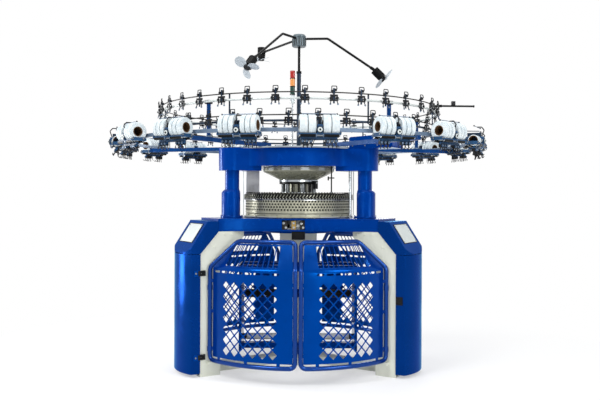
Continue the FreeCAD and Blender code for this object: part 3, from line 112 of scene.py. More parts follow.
class Form:
    """Points and faces with a paint for each face."""

    def __init__(self, points=(), faces=(), paint="blue"):
        self.points = [Vector(p) for p in points]
        self.faces = [tuple(f) for f in faces]
        self.paints = [paint] * len(self.faces)

    def add(self, *others):
        for other in others:
            base = len(self.points)
            self.points += other.points
            self.faces += [tuple(base + i for i in face) for face in other.faces]
            self.paints += other.paints
        return self

    def placed(self, matrix):
        other = Form([matrix @ p for p in self.points], self.faces)
        if matrix.determinant() < 0:
            other.faces = [face[::-1] for face in self.faces]
        other.paints = list(self.paints)
        return other

    def turned(self, angle):
        return self.placed(Matrix.Rotation(math.radians(angle), 4, "Z"))

    def moved(self, x=0.0, y=0.0, z=0.0):
        return self.placed(Matrix.Translation((x, y, z)))

    def mirrored(self):
        return self.placed(Matrix.Scale(-1, 4, (1, 0, 0)))

    def outwards(self, angle, radius, height, side=0.0, lift=0.0):
        """Stood on a place with its z outwards, or upwards by lift degrees."""
        tip = Matrix.Rotation(math.radians(90 - lift), 4, "X")
        turn = Matrix.Rotation(math.radians(angle), 4, "Z")
        return self.placed(Matrix.Translation(at(angle, radius, height, side)) @ turn @ tip)

    def across(self, x, radius, height, mark=1):
        """Stood on a place with its z along x, towards mark."""
        turn = Matrix.Rotation(mark * math.pi / 2, 4, "Y")
        return self.placed(Matrix.Translation((x, -radius, height)) @ turn)

    def around(self, angles):
        """Copies turned about the machine's axis."""
        return Form().add(*(self.turned(angle) for angle in angles))

    def spread(self, angles, radius, height=0.0):
        """Copies moved to places round the machine, none of them turned."""
        return Form().add(*(self.moved(*at(angle, radius, height)) for angle in angles))


def rings(loops, closed, paint, caps=True):
    """Loops of points in step with each other, joined by quads."""
    count, last = len(loops[0]), len(loops) - 1
    faces = []
    for j in range(last + closed):
        near, far = j * count, (j + 1) % len(loops) * count
        for i in range(count):
            after = (i + 1) % count
            faces.append((near + i, near + after, far + after, far + i))
    if caps and not closed:
        faces += [range(count)[::-1], range(last * count, (last + 1) * count)]
    return Form([p for loop in loops for p in loop], faces, paint)


def lathe(section, sides=48, paint="blue"):
    """A section of (R, height) points, anticlockwise seen with R to the right, turned about Z.

    One that touches the axis stays open between its last point and its first.
    """
    loops = [[(r * math.sin(t), -r * math.cos(t), z) for r, z in section]
             for t in (2 * math.pi * i / sides for i in range(sides))]
    form = rings(loops, True, paint)
    if min(section)[0] <= 0:
        form.faces = [face for i, face in enumerate(form.faces) if (i + 1) % len(section)]
        form.paints = [paint] * len(form.faces)
    return form


def disc(radius, low, high, sides=48, paint="blue", edge=1.0, inner=0.0):
    """A turned disc or ring with small chamfers."""
    return lathe([(inner, low), (radius - edge, low), (radius, low + edge),
                  (radius, high - edge), (radius - edge, high), (inner, high)], sides, paint)


def band(inner, outer, low, high, sides, paint):
    """A turned ring with sharp edges."""
    return lathe([(inner, low), (outer, low), (outer, high), (inner, high)], sides, paint)


def frames_along(path, closed):
    """Tangents and a steady cross direction at the points of a path."""
    count = len(path)
    tangents = []
    for i in range(count):
        before = path[i - 1] if i or closed else path[i]
        after = path[(i + 1) % count] if i < count - 1 or closed else path[i]
        tangents.append((after - before).normalized())
    start = tangents[0].cross(Vector((0, 0, 1)))
    if start.length < 0.1:
        start = tangents[0].cross(Vector((1, 0, 0)))
    sides = [start.normalized()]
    for tangent in tangents[1:]:
        sides.append((sides[-1] - tangent * sides[-1].dot(tangent)).normalized())
    return tangents, sides


def tube(path, radius, sides=12, paint="blue", closed=False):
    path = [Vector(p) for p in path]
    tangents, across = frames_along(path, closed)
    twist = 0.0
    if closed:
        end = across[-1] - tangents[0] * across[-1].dot(tangents[0])
        twist = end.normalized().angle(across[0])
        if end.cross(across[0]).dot(tangents[0]) < 0:
            twist = -twist
    loops = []
    for i, point in enumerate(path):
        up = tangents[i].cross(across[i])
        turns = [2 * math.pi * k / sides + twist * i / len(path) for k in range(sides)]
        loops.append([point + across[i] * (radius * math.cos(t)) + up * (radius * math.sin(t))
                      for t in turns])
    return rings(loops, closed, paint)


def rounded(path, radius, steps=5, closed=False):
    """A path whose corners are rounded; the radius may be one value or one for each point."""
    path = [Vector(p) for p in path]
    count = len(path)
    result = []
    for i, point in enumerate(path):
        bend = radius[i] if isinstance(radius, (list, tuple)) else radius
        if not bend or (not closed and i in (0, count - 1)):
            result.append(point)
            continue
        before, after = path[i - 1] - point, path[(i + 1) % count] - point
        half = before.angle(after) / 2
        reach = min(bend / math.tan(half), before.length * 0.49, after.length * 0.49)
        start = point + before.normalized() * reach
        end = point + after.normalized() * reach
        for k in range(steps + 1):
            t = k / steps
            result.append(start * (1 - t) ** 2 + point * (2 * t * (1 - t)) + end * t ** 2)
    return result


def prism(outline, low, high, paint="blue"):
    """An outline of (x, y) points, anticlockwise from above, between two heights."""
    return rings([[(x, y, z) for x, y in outline] for z in (low, high)], False, paint)


def boxes(paint, *sizes):
    """Boxes from ranges across, outwards (R, towards -Y) and up.

    One with five numbers reaches as far to the left as to the right.
    """
    form = Form()
    for size in sizes:
        x0, x1, near, far, low, high = size if len(size) == 6 else (-size[0], *size)
        form.add(prism([(x0, -far), (x1, -far), (x1, -near), (x0, -near)], low, high, paint))
    return form


def doubled_area(loop):
    """Twice the area inside a flat loop, positive if it runs anticlockwise."""
    return sum(a[0] * b[1] - b[0] * a[1] for a, b in zip(loop, loop[1:] + loop[:1]))


def side_plate(section, x, paint="blue"):
    """A section of (R, height) points, extruded across between two x."""
    form = rings([[(across, -r, z) for r, z in section] for across in x], False, paint)
    if doubled_area(section) > 0:
        form.faces = [face[::-1] for face in form.faces]
    return form


def circle(radius, sides=48):
    turns = [2 * math.pi * i / sides for i in range(sides)]
    return [(radius * math.sin(t), -radius * math.cos(t)) for t in turns]


def filled(outer, holes=(), extra=()):
    """Flat triangles inside an outline and outside its holes: (points, faces)."""
    points, faces = [], []
    for loop in (outer, *holes):
        faces.append(list(range(len(points), len(points) + len(loop))))
        points += [Vector(p) for p in loop]
    points += [Vector(p) for p in extra]
    found = delaunay_2d_cdt(points, [], faces, 2, 1e-4)
    return found[0], found[2]


def slab(outer, holes, low, high, paint="blue"):
    """A flat plate with holes, between two heights."""
    flat, faces = filled(outer, holes)
    form = Form([(p.x, p.y, high) for p in flat], faces, paint)
    form.add(Form([(p.x, p.y, low) for p in flat], [f[::-1] for f in faces], paint))
    for loop in (outer, *holes):
        walls = loop if (doubled_area(loop) > 0) == (loop is outer) else loop[::-1]
        form.add(rings([[(x, y, z) for x, y in walls] for z in (low, high)], False, paint, False))
    return form


def hexagon_head(radius, height, paint="steel"):
    """A hexagon bolt head with a washer, standing on z = 0."""
    form = disc(radius * 1.35, 0, height * 0.2, 16, paint, 0.4)
    return form.add(disc(radius, height * 0.2, height, 6, paint, radius * 0.12))


def socket_head(radius, height, paint="steel"):
    """A cap screw with its hexagon socket, standing on z = 0."""
    return lathe([(radius, 0), (radius, height * 0.85), (radius * 0.9, height),
                  (radius * 0.55, height), (radius * 0.55, height * 0.45), (0, height * 0.45)],
                 8, paint)


# ------------------------------------------------------------ paints


WHITE = (1, 1, 1, 1)
DUST = (0.62, 0.62, 0.60, 1.0)
AZURE = (30, 200, 255)


def node_maker(owner):
    """Empties a node tree and gives the function that adds nodes to it."""
    owner.use_nodes = True
    tree = owner.node_tree
    tree.nodes.clear()

    def make(kind, inputs=(), output=0, **settings):
        """A node with its inputs linked or set, as one of its outputs or, with None, as itself."""
        node = tree.nodes.new("ShaderNode" + kind)
        for word, value in settings.items():
            setattr(node, word, value)
        for socket, value in dict(inputs).items():
            if isinstance(value, bpy.types.NodeSocket):
                tree.links.new(value, node.inputs[socket])
            else:
                node.inputs[socket].default_value = value
        return node if output is None else node.outputs[output]

    return make


def linear(colour):
    return tuple((c / 255 / 12.92 if c <= 10 else ((c / 255 + 0.055) / 1.055) ** 2.4)
                 for c in colour) + (1.0,)


def paint(name, colour, rough=0.35, metal=0.0, gloss=0.25, coat=0.0, vary=0.08, cloud=6.0,
          grain=900.0, bump=0.06, turned=False, wear=0.0, dust=0.0, second=None, tint=None,
          glow=0.0, clear=0.0):
    """A finish: clouded colour and roughness, a fine grain or turning marks, wear and dust."""
    material = bpy.data.materials.new(name)
    make = node_maker(material)
    where = make("TexCoord", output="Object")
    base = linear(colour)

    def shaded(share, lift=0.0):
        return tuple(min(1.0, c * share + lift) for c in base[:3]) + (1.0,)

    def noise(scale, detail, source=where):
        return make("TexNoise", {"Scale": scale, "Detail": detail, "Vector": source}, "Fac")

    def ranged(value, low, high, start=0.35, end=0.65):
        return make("MapRange", {"From Min": start, "From Max": end, "To Min": low,
                                 "To Max": high, "Value": value})

    def mixed(share, first, other):
        return make("Mix", {"Factor": share, 6: first, 7: other}, 2, data_type="RGBA")

    def product(first, other):
        return make("Math", {0: first, 1: other}, operation="MULTIPLY")

    darker = linear(second) if second else shaded(1 - vary)
    shade = mixed(ranged(noise(cloud, 4), 0, 1), darker, shaded(1 + vary))
    source = where
    if turned:
        parts = make("SeparateXYZ", {0: where}, None).outputs
        flat = make("CombineXYZ", {0: parts[0], 1: parts[1]})
        reach = make("VectorMath", {0: flat}, "Value", operation="LENGTH")
        source = make("CombineXYZ", {0: reach, 2: parts[2]})
    if wear:
        edges = make("NewGeometry", output="Pointiness")
        scuffed = product(ranged(edges, 0, wear, 0.52, 0.60), ranged(noise(34, 6), 0, 1, 0.56, 0.70))
        shade = mixed(scuffed, shade, shaded(1.5, 0.12))
    if dust:
        normal = make("SeparateXYZ", {0: make("NewGeometry", output="Normal")}, 2)
        settled = product(ranged(normal, 0, dust, 0.6, 1.0), ranged(noise(14, 5), 0.2, 1.0))
        shade = mixed(settled, shade, DUST)
    roughness = ranged(noise(cloud * 3, 5), max(rough - 0.06, 0.03), min(rough + 0.09, 1.0))
    grains = make("Bump", {"Strength": bump, "Distance": 0.001, "Height": noise(grain, 3, source)})
    inputs = {"Base Color": shade, "Roughness": roughness, "Metallic": metal, "Normal": grains,
              "Specular IOR Level": gloss, "Coat Weight": coat, "Coat Roughness": 0.06}
    if tint:
        inputs["Specular Tint"] = linear(tint)
    if clear:
        inputs |= {"Transmission Weight": clear, "IOR": 1.45}
    if glow:
        inputs |= {"Emission Color": base, "Emission Strength": glow}
    make("OutputMaterial", {0: make("BsdfPrincipled", inputs)}, None)
    return material


PAINTS = {
    "blue": paint("blue_enamel", (0, 50, 134), 0.16, metal=0.35, gloss=0.42, tint=AZURE,
                  vary=0.06, cloud=2.5, grain=260, bump=0.05, dust=0.02),
    # The covers are the same blue enamel as the frame. Their colour is darkened here as painted
    # shade, standing in for the dark shade and reflections on the doors and caps.
    "cover_blue": paint("blue_enamel_covers_painted_shade", (4, 48, 118), 0.2, metal=0.75, gloss=0.1,
                        tint=AZURE, vary=0.05, cloud=2, grain=220, bump=0.04),
    "blue_tube": paint("blue_enamel_tube", (0, 46, 126), 0.14, metal=0.5, gloss=0.5, tint=AZURE,
                       coat=0.35, vary=0.06, cloud=5, grain=500, bump=0.05),
    "deep_blue": paint("blue_enamel_castings", (0, 50, 134), 0.20, gloss=0.42,
                       tint=(40, 140, 250), cloud=5, grain=420, bump=0.12, dust=0.03),
    "cream": paint("cream_enamel", (216, 218, 204), 0.34, gloss=0.3, coat=0.1, vary=0.04,
                   cloud=3, grain=300, wear=0.1, dust=0.06),
    "plate": paint("bare_plate", (200, 206, 204), 0.38, metal=0.2, vary=0.05, cloud=9,
                   grain=700, bump=0.04),
    "navy": paint("navy_enamel", (16, 56, 110), 0.30, gloss=0.35, tint=(60, 130, 210),
                  vary=0.12, cloud=9, grain=700, bump=0.08, wear=0.1),
    "rail": paint("drawn_steel", (104, 122, 144), 0.36, metal=0.45, vary=0.14, cloud=8, bump=0.08),
    "grey_box": paint("light_grey_enamel", (240, 241, 242), 0.40, metal=0.4, coat=0.1, vary=0.03,
                      grain=380, bump=0.08, dust=0.03),
    "steel": paint("machined_steel", (128, 132, 134), 0.32, metal=0.8, vary=0.12, grain=1400,
                   bump=0.10, turned=True),
    "bright": paint("polished_steel", (176, 181, 184), 0.20, metal=0.9, vary=0.06, grain=1500,
                    bump=0.05, turned=True),
    "mast": paint("mast_steel", (30, 46, 64), 0.30, metal=0.35, vary=0.10, grain=1300, bump=0.05),
    "hub": paint("cast_grey", (88, 100, 106), 0.34, metal=0.3, vary=0.12, cloud=10, grain=700,
                 bump=0.12, wear=0.2),
    "deck": paint("deck_enamel", (150, 157, 162), 0.62, gloss=0.12, dust=0.05),
    "alloy": paint("machined_aluminium", (172, 171, 152), 0.36, metal=0.35, vary=0.10, cloud=12,
                   grain=1200, bump=0.12, turned=True, wear=0.2),
    "silver": paint("silver_enamel", (170, 171, 154), 0.26, metal=0.45, gloss=0.35, cloud=5,
                    grain=500, bump=0.08, dust=0.04),
    "dark_ring": paint("blackened_steel", (32, 30, 25), 0.42, metal=0.05, gloss=0.3, vary=0.2,
                       cloud=20, grain=1200, bump=0.12, turned=True, wear=0.3),
    "black": paint("black_enamel", (9, 10, 11), 0.34, gloss=0.12, vary=0.2, cloud=10, grain=500,
                   bump=0.08, wear=0.15),
    "plastic": paint("black_moulding", (15, 17, 21), 0.45, gloss=0.22, vary=0.2, cloud=14,
                     grain=1600, bump=0.14),
    "blue_plastic": paint("blue_moulding", (26, 64, 100), 0.40, vary=0.2, cloud=14, grain=1500,
                          bump=0.12),
    "rubber": paint("rubber", (20, 20, 21), 0.72, gloss=0.15, vary=0.25, cloud=18, grain=1100,
                    bump=0.30),
    "yarn": paint("wound_elastane", (212, 218, 219), 0.62, gloss=0.15, vary=0.04, cloud=26,
                  grain=1500, bump=0.35, second=(192, 203, 208)),
    "card": paint("card_core", (82, 60, 40), 0.75, gloss=0.15, vary=0.25, cloud=30, bump=0.25),
    "ceramic": paint("ceramic_eye", (225, 227, 222), 0.12, coat=0.3, vary=0.03, bump=0.02),
    "brass": paint("brass", (170, 140, 78), 0.30, metal=0.7, vary=0.10),
    "fan": paint("fan_moulding", (176, 184, 190), 0.40, vary=0.06, cloud=10, bump=0.10),
    "red_lens": paint("red_lens", (150, 30, 24), 0.16, coat=0.3, glow=0.05, bump=0.03),
    "amber_lens": paint("amber_lens", (206, 136, 74), 0.16, coat=0.3, glow=0.06, bump=0.03),
    "green_lens": paint("green_lens", (14, 56, 46), 0.16, coat=0.3, glow=0.02, bump=0.03),
    "clear_lens": paint("clear_lens", (196, 204, 206), 0.12, coat=0.3, vary=0.03, clear=0.4,
                        bump=0.02),
    "cloth": paint("knitted_cloth", (206, 210, 214), 0.85, gloss=0.1, vary=0.06, cloud=30,
                   grain=1300, bump=0.5),
}


def new_object(name, data):
    thing = bpy.data.objects.new(name, data)
    bpy.context.scene.collection.objects.link(thing)
    return thing


def piece(name, form, slot, replaces=(), bevel=0.0, body="machine", smooth=34, thick=0.0, steps=2):
    """Makes an object of a form, lets it ride on a body and stand for nodes."""
    mesh = bpy.data.meshes.new(name)
    names = sorted(set(form.paints))
    mesh.from_pydata([p * MM for p in form.points], [], form.faces)
    for word in names:
        mesh.materials.append(PAINTS[word])
    number = {word: i for i, word in enumerate(names)}
    mesh.polygons.foreach_set("material_index", [number[word] for word in form.paints])
    work = bmesh.new()
    work.from_mesh(mesh)
    bmesh.ops.remove_doubles(work, verts=work.verts, dist=2e-6)
    bmesh.ops.dissolve_degenerate(work, edges=work.edges, dist=1e-6)
    work.to_mesh(mesh)
    work.free()
    mesh.shade_smooth()
    mesh.set_sharp_from_angle(angle=math.radians(smooth))
    thing = new_object(name, mesh)
    if thick:
        modifier = thing.modifiers.new("thickness", "SOLIDIFY")
        modifier.thickness = thick * MM
        modifier.offset = -1
    if bevel:
        modifier = thing.modifiers.new("edges", "BEVEL")
        modifier.width = bevel * MM
        modifier.segments = steps
        modifier.limit_method = "ANGLE"
        modifier.angle_limit = math.radians(40)
        modifier.harden_normals = True
    if replaces:
        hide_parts(*replaces)
    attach(thing, body)


def repaint(node, word):
    """Gives a construction piece that stays in view its finish."""
    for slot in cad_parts[node].material_slots:
        slot.material = PAINTS[word]


# ------------------------------------------------------------ camera, light and floor


FLOOR_HALF = 20.0
LAMPS = {
    "key": ((-3.6, -4.6, 5.8), (0, 0, 1.2), (2.6, 2.6), 280),
    "fill": ((4.2, -4.4, 4.8), (0, 0, 1.2), (2.4, 3.0), 170),
    "top": ((0, -0.5, 6.5), (0, 0, 1.0), (4.0, 4.0), 110),
    "rim": ((1.5, 5.5, 3.6), (0, 0, 1.4), (3.0, 2.0), 140),
    "low_front": ((3.2, -7.5, 1.2), (0, 0, 1.5), (3.0, 1.4), 95),
    "strip_left": ((-5.2, 0.8, 1.4), (-0.95, -0.68, 0.9), (1.3, 3.2), 190),
}


def camera():
    data = bpy.data.cameras.new("camera")
    data.lens, data.sensor_width, data.sensor_fit = 43.2, 36.0, "HORIZONTAL"
    data.shift_x, data.shift_y = 1.5 / 600, -5.0 / 600
    data.clip_end = 60
    thing = new_object("camera", data)
    thing.location = (0, -6.790, 1.546)
    thing.rotation_euler = (math.radians(90), math.radians(-0.25), 0)
    bpy.context.scene.camera = thing


def lamps():
    for name, (place, target, size, power) in LAMPS.items():
        data = bpy.data.lights.new(name, "AREA")
        data.shape, data.size, data.size_y, data.energy = "RECTANGLE", *size, power
        thing = new_object(name, data)
        thing.location = place
        thing.rotation_euler = (Vector(target) - Vector(place)).to_track_quat("-Z", "Y").to_euler()
        thing.visible_camera = False


def shown_rays(make):
    """1 for rays from the camera and for those that mirror or pass through something."""
    rays = make("LightPath", output=None).outputs
    total = rays["Is Camera Ray"]
    for word in ("Is Glossy Ray", "Is Transmission Ray"):
        total = make("Math", {0: total, 1: rays[word]}, operation="MAXIMUM")
    return total


def backdrop():
    """A soft cool light from all round that the camera sees as white."""
    world = bpy.data.worlds.new("studio")
    bpy.context.scene.world = world
    make = node_maker(world)
    fill = make("Background", {"Color": (0.92, 0.96, 1.0, 1), "Strength": 0.42})
    seen = make("Background", {"Color": WHITE, "Strength": 1.0})
    make("OutputWorld", {0: make("MixShader", {0: shown_rays(make), 1: fill, 2: seen})}, None)


def studio_floor():
    """A pale floor that fades to white away from the machine."""
    floor = bpy.data.meshes.new("floor")
    half = FLOOR_HALF
    floor.from_pydata([(-half, -half, 0), (half, -half, 0), (half, half, 0), (-half, half, 0)],
                      [], [(0, 1, 2, 3)])
    material = bpy.data.materials.new("studio_floor")
    make = node_maker(material)
    shader = make("BsdfPrincipled", {"Base Color": (0.93, 0.93, 0.93, 1), "Roughness": 0.9,
                                     "Specular IOR Level": 0.1})
    white = make("Emission", {"Color": WHITE, "Strength": 1.0})
    where = make("TexCoord", output="Object")
    reach = make("VectorMath", {0: where}, "Value", operation="LENGTH")
    fade = make("MapRange", {"From Min": 1.6, "From Max": 3.4, "To Min": 0.45, "Value": reach})
    share = make("Math", {0: fade, 1: shown_rays(make)}, operation="MULTIPLY")
    make("OutputMaterial", {0: make("MixShader", {0: share, 1: shader, 2: white})}, None)
    floor.materials.append(material)
    thing = new_object("studio_floor", floor)


# ------------------------------------------------------------ legs and covers


def leg():
    inside = LEG_HALF - WALL
    form = boxes("cream", (inside, LEG_IN + WALL, LEG_OUT, 0, WALL))
    side = [(LEG_OUT, 0), (LEG_IN + WALL, 0), (LEG_IN + WALL, TABLE_LOW), (900, TABLE_LOW),
            (LEG_OUT, SEAM + 7)]
    wedge = [(LEG_IN + WALL, 0), (LEG_IN, 0), (LEG_IN, 960), (660, 1180), (660, TABLE_LOW),
             (LEG_IN + WALL, TABLE_LOW)]
    for section, x in ((side, (-LEG_HALF, -inside)), (side, (inside, LEG_HALF)),
                       (wedge, (-LEG_HALF, LEG_HALF))):
        form.add(side_plate(section, x, "cream"))
    away = math.radians(LEGS[1] - GATE_END)
    out, beside = GATE_R * math.cos(away), GATE_R * math.sin(away)
    for mark in (-1, 1):
        for far, low, high in ((beside + TUBE, 105, 128), (beside - TUBE - 3.5, 810, 870)):
            x = sorted((mark * LEG_HALF, mark * far))
            form.add(boxes("cream", (*x, out - TUBE, out + TUBE, low, high)))
        for reach, height in LEG_SCREWS:
            form.add(hexagon_head(9, 7, "cream").across(mark * LEG_HALF, reach, height, mark))
    return form


def cover_line(inset=0.0, steps=20):
    """The D of a cover in plan from one inner end round to the other: (x, R) points."""
    half, side, radius = COVER_HALF - inset, COVER_SIDE - inset, COVER_ROUND - inset
    centre = side - math.sqrt(radius ** 2 - half ** 2)
    span = math.asin(half / radius)
    turns = [-span + 2 * span * i / steps for i in range(steps + 1)]
    return [(radius * math.sin(t), centre + radius * math.cos(t)) for t in turns]


def leg_door():
    """A lower cover: a bent sheet with a floor and a lid."""
    back, inside = LEG_OUT + 0.4, COVER_HALF - SHEET
    outer = [(-COVER_HALF, back), *cover_line(), (COVER_HALF, back)]
    inner = [(-inside, back), *cover_line(SHEET), (inside, back)]
    form = Form()
    # The door's sheet takes the covers' blue, darkened as painted shade.
    for line, low, high in ((outer + inner[::-1], 30, SEAM), (inner, 30, 30 + SHEET),
                            (inner, SEAM - SHEET, SEAM)):
        form.add(prism([(x, -r) for x, r in line], low, high, "cover_blue"))
    for x in ((-inside, 22 - COVER_HALF), (COVER_HALF - 22, inside)):
        form.add(boxes("cover_blue", (*x, back, back + SHEET, 36, SEAM - 6)))
    return form


def leg_cap():
    """An upper cover: the D again, cut by the slope that runs down to the seam."""
    fixed = [ARM_OUT + 0.4, CAP_TOP_OUT, LEG_OUT + 0.4]
    arc = [(x, min(r, CAP_OUT - 1)) for x, r in cover_line()]
    line = [(-COVER_HALF, r) for r in fixed] + arc + [(COVER_HALF, r) for r in fixed[::-1]]
    slope = (CAP_TOP - SEAM - 7) / (CAP_OUT - CAP_TOP_OUT)

    def underside(reach):
        share = min(1.0, max(0.0, (LEG_OUT - reach) / (LEG_OUT - ARM_OUT)))
        return SEAM + 3 + (TABLE_LOW - SEAM - 3) * share

    low = [(x, -r, underside(r)) for x, r in line]
    high = [(x, -r, CAP_TOP - slope * max(0.0, r - CAP_TOP_OUT)) for x, r in line]
    count = len(line)
    faces = [(i, i + 1, count + i + 1, count + i) for i in range(count - 1)]
    faces.append(range(count + 1, 2 * count - 1))
    faces.append((count, count + 1, 2 * count - 2, 2 * count - 1))
    # The cap takes the covers' blue, darkened as painted shade.
    return Form(low + high, faces, "cover_blue")


def cap_plate():
    """A bare plate in a thin frame on the slope of a cap."""
    form = boxes("plate", (140, 36, 216, 0.2, 2.2))
    form.add(boxes("black", (146, 30, 36, 0.2, 3.4), (146, 216, 222, 0.2, 3.4),
                   (-146, -140, 36, 216, 0.2, 3.4), (140, 146, 36, 216, 0.2, 3.4)))
    for x in (-128, 128):
        for depth in (48, 204):
            form.add(socket_head(4, 3).moved(x, -depth, 2.0))
    lean = math.atan2(CAP_TOP - SEAM - 7, CAP_OUT - CAP_TOP_OUT)
    start = Matrix.Translation((0, -CAP_TOP_OUT, CAP_TOP))
    return form.placed(start @ Matrix.Rotation(lean, 4, "X"))


def latch():
    """A quarter-turn latch on the door's side: base, boss and folding lever, facing x."""
    form = boxes("blue", (0, 5, LEG_OUT + 4, LEG_OUT + 64, 0, 50))
    form.add(boxes("plastic", (5, 10, LEG_OUT + 5, LEG_OUT + 24, 3, 47)))
    return form.add(disc(8, 0, 5, 20, "steel").across(5, LEG_OUT + 44, 25))


def latch_keep():
    """The black catch on the leg beside a latch."""
    face = LEG_HALF + 12
    form = boxes("plastic", (LEG_HALF, face, LEG_OUT - 46, LEG_OUT - 1, 2, 48))
    form.add(boxes("black", (face, face + 4, LEG_OUT - 38, LEG_OUT - 8, 10, 40)))
    for reach in (LEG_OUT - 42, LEG_OUT - 6):
        form.add(socket_head(2.6, 2).across(face, reach, 25))
    return form


def door_grip():
    near, far = LEG_OUT + 12, LEG_OUT + 56
    return boxes("plastic", (-6, 0, LEG_OUT + 4, LEG_OUT + 64, 620, 690),
                 (-10, -6, near, far, 630, 642), (-10, -6, near, far, 668, 680))


def covers():
    piece("legs", leg().around(LEGS), "frame_paint", ["leg_frames"], 2.5)
    for name, angle in zip(("left", "right", "rear"), LEGS):
        piece(f"cover_door_{name}", leg_door().turned(angle), "cover_paint",
              [f"leg_door_{name}"], 1.8, f"door_{name}")
    piece("cover_caps", leg_cap().around(LEGS), "cover_paint", ["leg_caps"], 2.5, thick=4, steps=3)
    piece("cap_plates", cap_plate().around(LEGS[:2]), "alloy", bevel=0.8)
    handles, keeps = Form(), Form()
    for low in (144, 854):
        handles.add(latch().moved(COVER_HALF + 0.4, 0, low))
        keeps.add(latch_keep().moved(z=low))
    piece("latch_keeps", keeps.turned(LEGS[0]), "dark_paint", bevel=1.2)
    piece("latches", handles.turned(LEGS[0]), "dark_paint", ["door_latches"], 1.2, "door_left")
    grip = door_grip().moved(-COVER_HALF - 0.4).turned(LEGS[1])
    piece("grip", grip, "dark_paint", ["door_grip"], 1.2, "door_right")


# ------------------------------------------------------------ gates and guards


def on_sheet(angle, way):
    """The place of a sheet point, its way measured up the sheet from the floor."""
    t = (way - GATE_BEND + BEND_HALF) / (2 * BEND_HALF)
    if t <= 0:
        return at(angle, GATE_R, way)
    up = way - GATE_BEND if t >= 1 else BEND_HALF * t ** 2
    flat = 0 if t >= 1 else BEND_HALF * (1 - t) ** 2
    return at(angle, GATE_R - FALL * up / RUN, GATE_BEND - flat + RISE * up / RUN)


def on_way(height):
    return GATE_BEND + (height - GATE_BEND) * RUN / RISE


def soft_loop(corners, radius):
    path = rounded([Vector((x, y, 0)) for x, y in corners], radius, 3, closed=True)
    return [(p.x, p.y) for p in path]


def diamonds(near, far, columns, low=205, high=839, rows=7, bar_width=10.5):
    """The openings of the window, in sheet coordinates."""
    width, height = (far - near) * DEGREE / columns, (high - low) / rows
    half_x = width / 2 - bar_width / 2 * math.hypot(width, height) / height
    half_y = half_x * height / width
    loops = []
    for j in range(2 * rows - 1):
        middle = low + (j + 1) * height / 2
        for i in range(columns - j % 2):
            centre = near * DEGREE + (i + 0.5 + 0.5 * (j % 2)) * width
            loops.append(soft_loop([(centre + half_x, middle), (centre, middle + half_y),
                                    (centre - half_x, middle), (centre, middle - half_y)], 5))
    return loops


def bend_holes(first, count, pitch=2.6, half=18):
    """The upright openings over the bend, with thin bars between them."""
    low, high = on_way(956), on_way(1120)
    loops = []
    for i in range(count):
        centre = (first + (i + 0.5) * pitch) * DEGREE
        right, left = centre + half, centre - half
        loops.append(soft_loop([(right, low), (right, high), (left, high), (left, low)], 9))
    return loops


def slits(first, count, pitch=4.5, length=3.5, height=903, half=8.5):
    """The lying slits just below the bend."""
    turns = [math.pi * i / 4 for i in range(5)]
    loops = []
    for i in range(count):
        start = (first + i * pitch) * DEGREE + half
        end = (first + i * pitch + length) * DEGREE - half
        loops.append([(end + half * math.sin(t), height - half * math.cos(t)) for t in turns]
                     + [(start - half * math.sin(t), height + half * math.cos(t)) for t in turns])
    return loops


def within(loop, point):
    odd = False
    for (x0, y0), (x1, y1) in zip(loop, loop[1:] + loop[:1]):
        if (y0 > point[1]) != (y1 > point[1]):
            if point[0] < x0 + (x1 - x0) * (point[1] - y0) / (y1 - y0):
                odd = not odd
    return odd


def gate_sheet(first, last, top_first, top_last, holes, thickness=3.0):
    """A bent sheet between directions, with holes, as two skins and their walls."""
    low, top = GATE_LOW + 2 * TUBE + 16, on_way(GATE_TOP - 2 * TUBE)
    steps = max(2, round((last - first) / 2.0))
    rows = (300, 450, 600, 750, 900, *SHEET_ROWS)
    outer = [(first + (last - first) * i / steps, low) for i in range(steps + 1)]
    outer += [(last, h) for h in rows]
    outer += [(top_last + (top_first - top_last) * i / steps, top) for i in range(steps + 1)]
    outer += [(first, h) for h in rows[::-1]]
    outer = [(a * DEGREE, h) for a, h in outer]
    boxed = [(min(x) - 6, max(x) + 6, min(y) - 6, max(y) + 6) for x, y in (zip(*h) for h in holes)]
    extra = []
    for y in (240, 500, 760, 880, *SHEET_ROWS, 1050, 1150):
        for i in range(1, steps):
            x = (first + (last - first) * i / steps) * DEGREE
            clear = not any(b[0] < x < b[1] and b[2] < y < b[3] for b in boxed)
            if clear and within(outer, (x, y)):
                extra.append((x, y))
    flat, faces = filled(outer, holes, extra)

    def skin(shift):
        return [on_sheet(p.x / DEGREE, p.y) + at(p.x / DEGREE, 1.0) * shift for p in flat]

    form = Form(skin(thickness / 2), faces, "blue")
    form.add(Form(skin(-thickness / 2), [f[::-1] for f in faces], "blue"))
    edges = {(a, b): 1 for face in faces for a, b in zip(face, face[1:] + face[:1])}
    count = len(flat)
    walls = [(b, a, count + a, count + b) for a, b in edges if (b, a) not in edges]
    form.faces += walls
    form.paints += ["blue"] * len(walls)
    return form


def gate_frame(first, last, top_first, top_last):
    """The tube round a gate or guard; its plain points keep away from its rounded corners."""
    steps = max(4, round((last - first) / 3))

    def edge(start, end, radius, height):
        return [(at(start + (end - start) * i / steps, radius, height), 70 * (i in (0, steps)))
                for i in range(steps + 1)]

    line = edge(last, first, GATE_R, GATE_LOW + TUBE) + [(at(first, GATE_R, GATE_BEND), 60)]
    line += edge(top_first, top_last, GATE_TOP_R, GATE_TOP - TUBE)
    line.append((at(last, GATE_R, GATE_BEND), 60))
    corners = [p for p, bend in line if bend]
    path, bends = zip(*((p, bend) for p, bend in line
                        if bend or all((p - c).length > 100 for c in corners)))
    return tube(rounded(path, bends, 7, closed=True), TUBE, 18, "blue_tube", closed=True)


def tabs(first, last, low_angles):
    """Small straps that tie the sheet to its uprights and to the tube below it."""
    near, far = GATE_R - 2.5, GATE_R + 2.5
    form = boxes("blue", (14, near, far, GATE_LOW + TUBE, 190)).around(low_angles)
    for height in (250, 563, 820):
        low, high = height - 14, height + 14
        form.add(boxes("blue", (0, 50, near, far, low, high)).turned(first),
                 boxes("blue", (-50, 0, near, far, low, high)).turned(last))
    return form


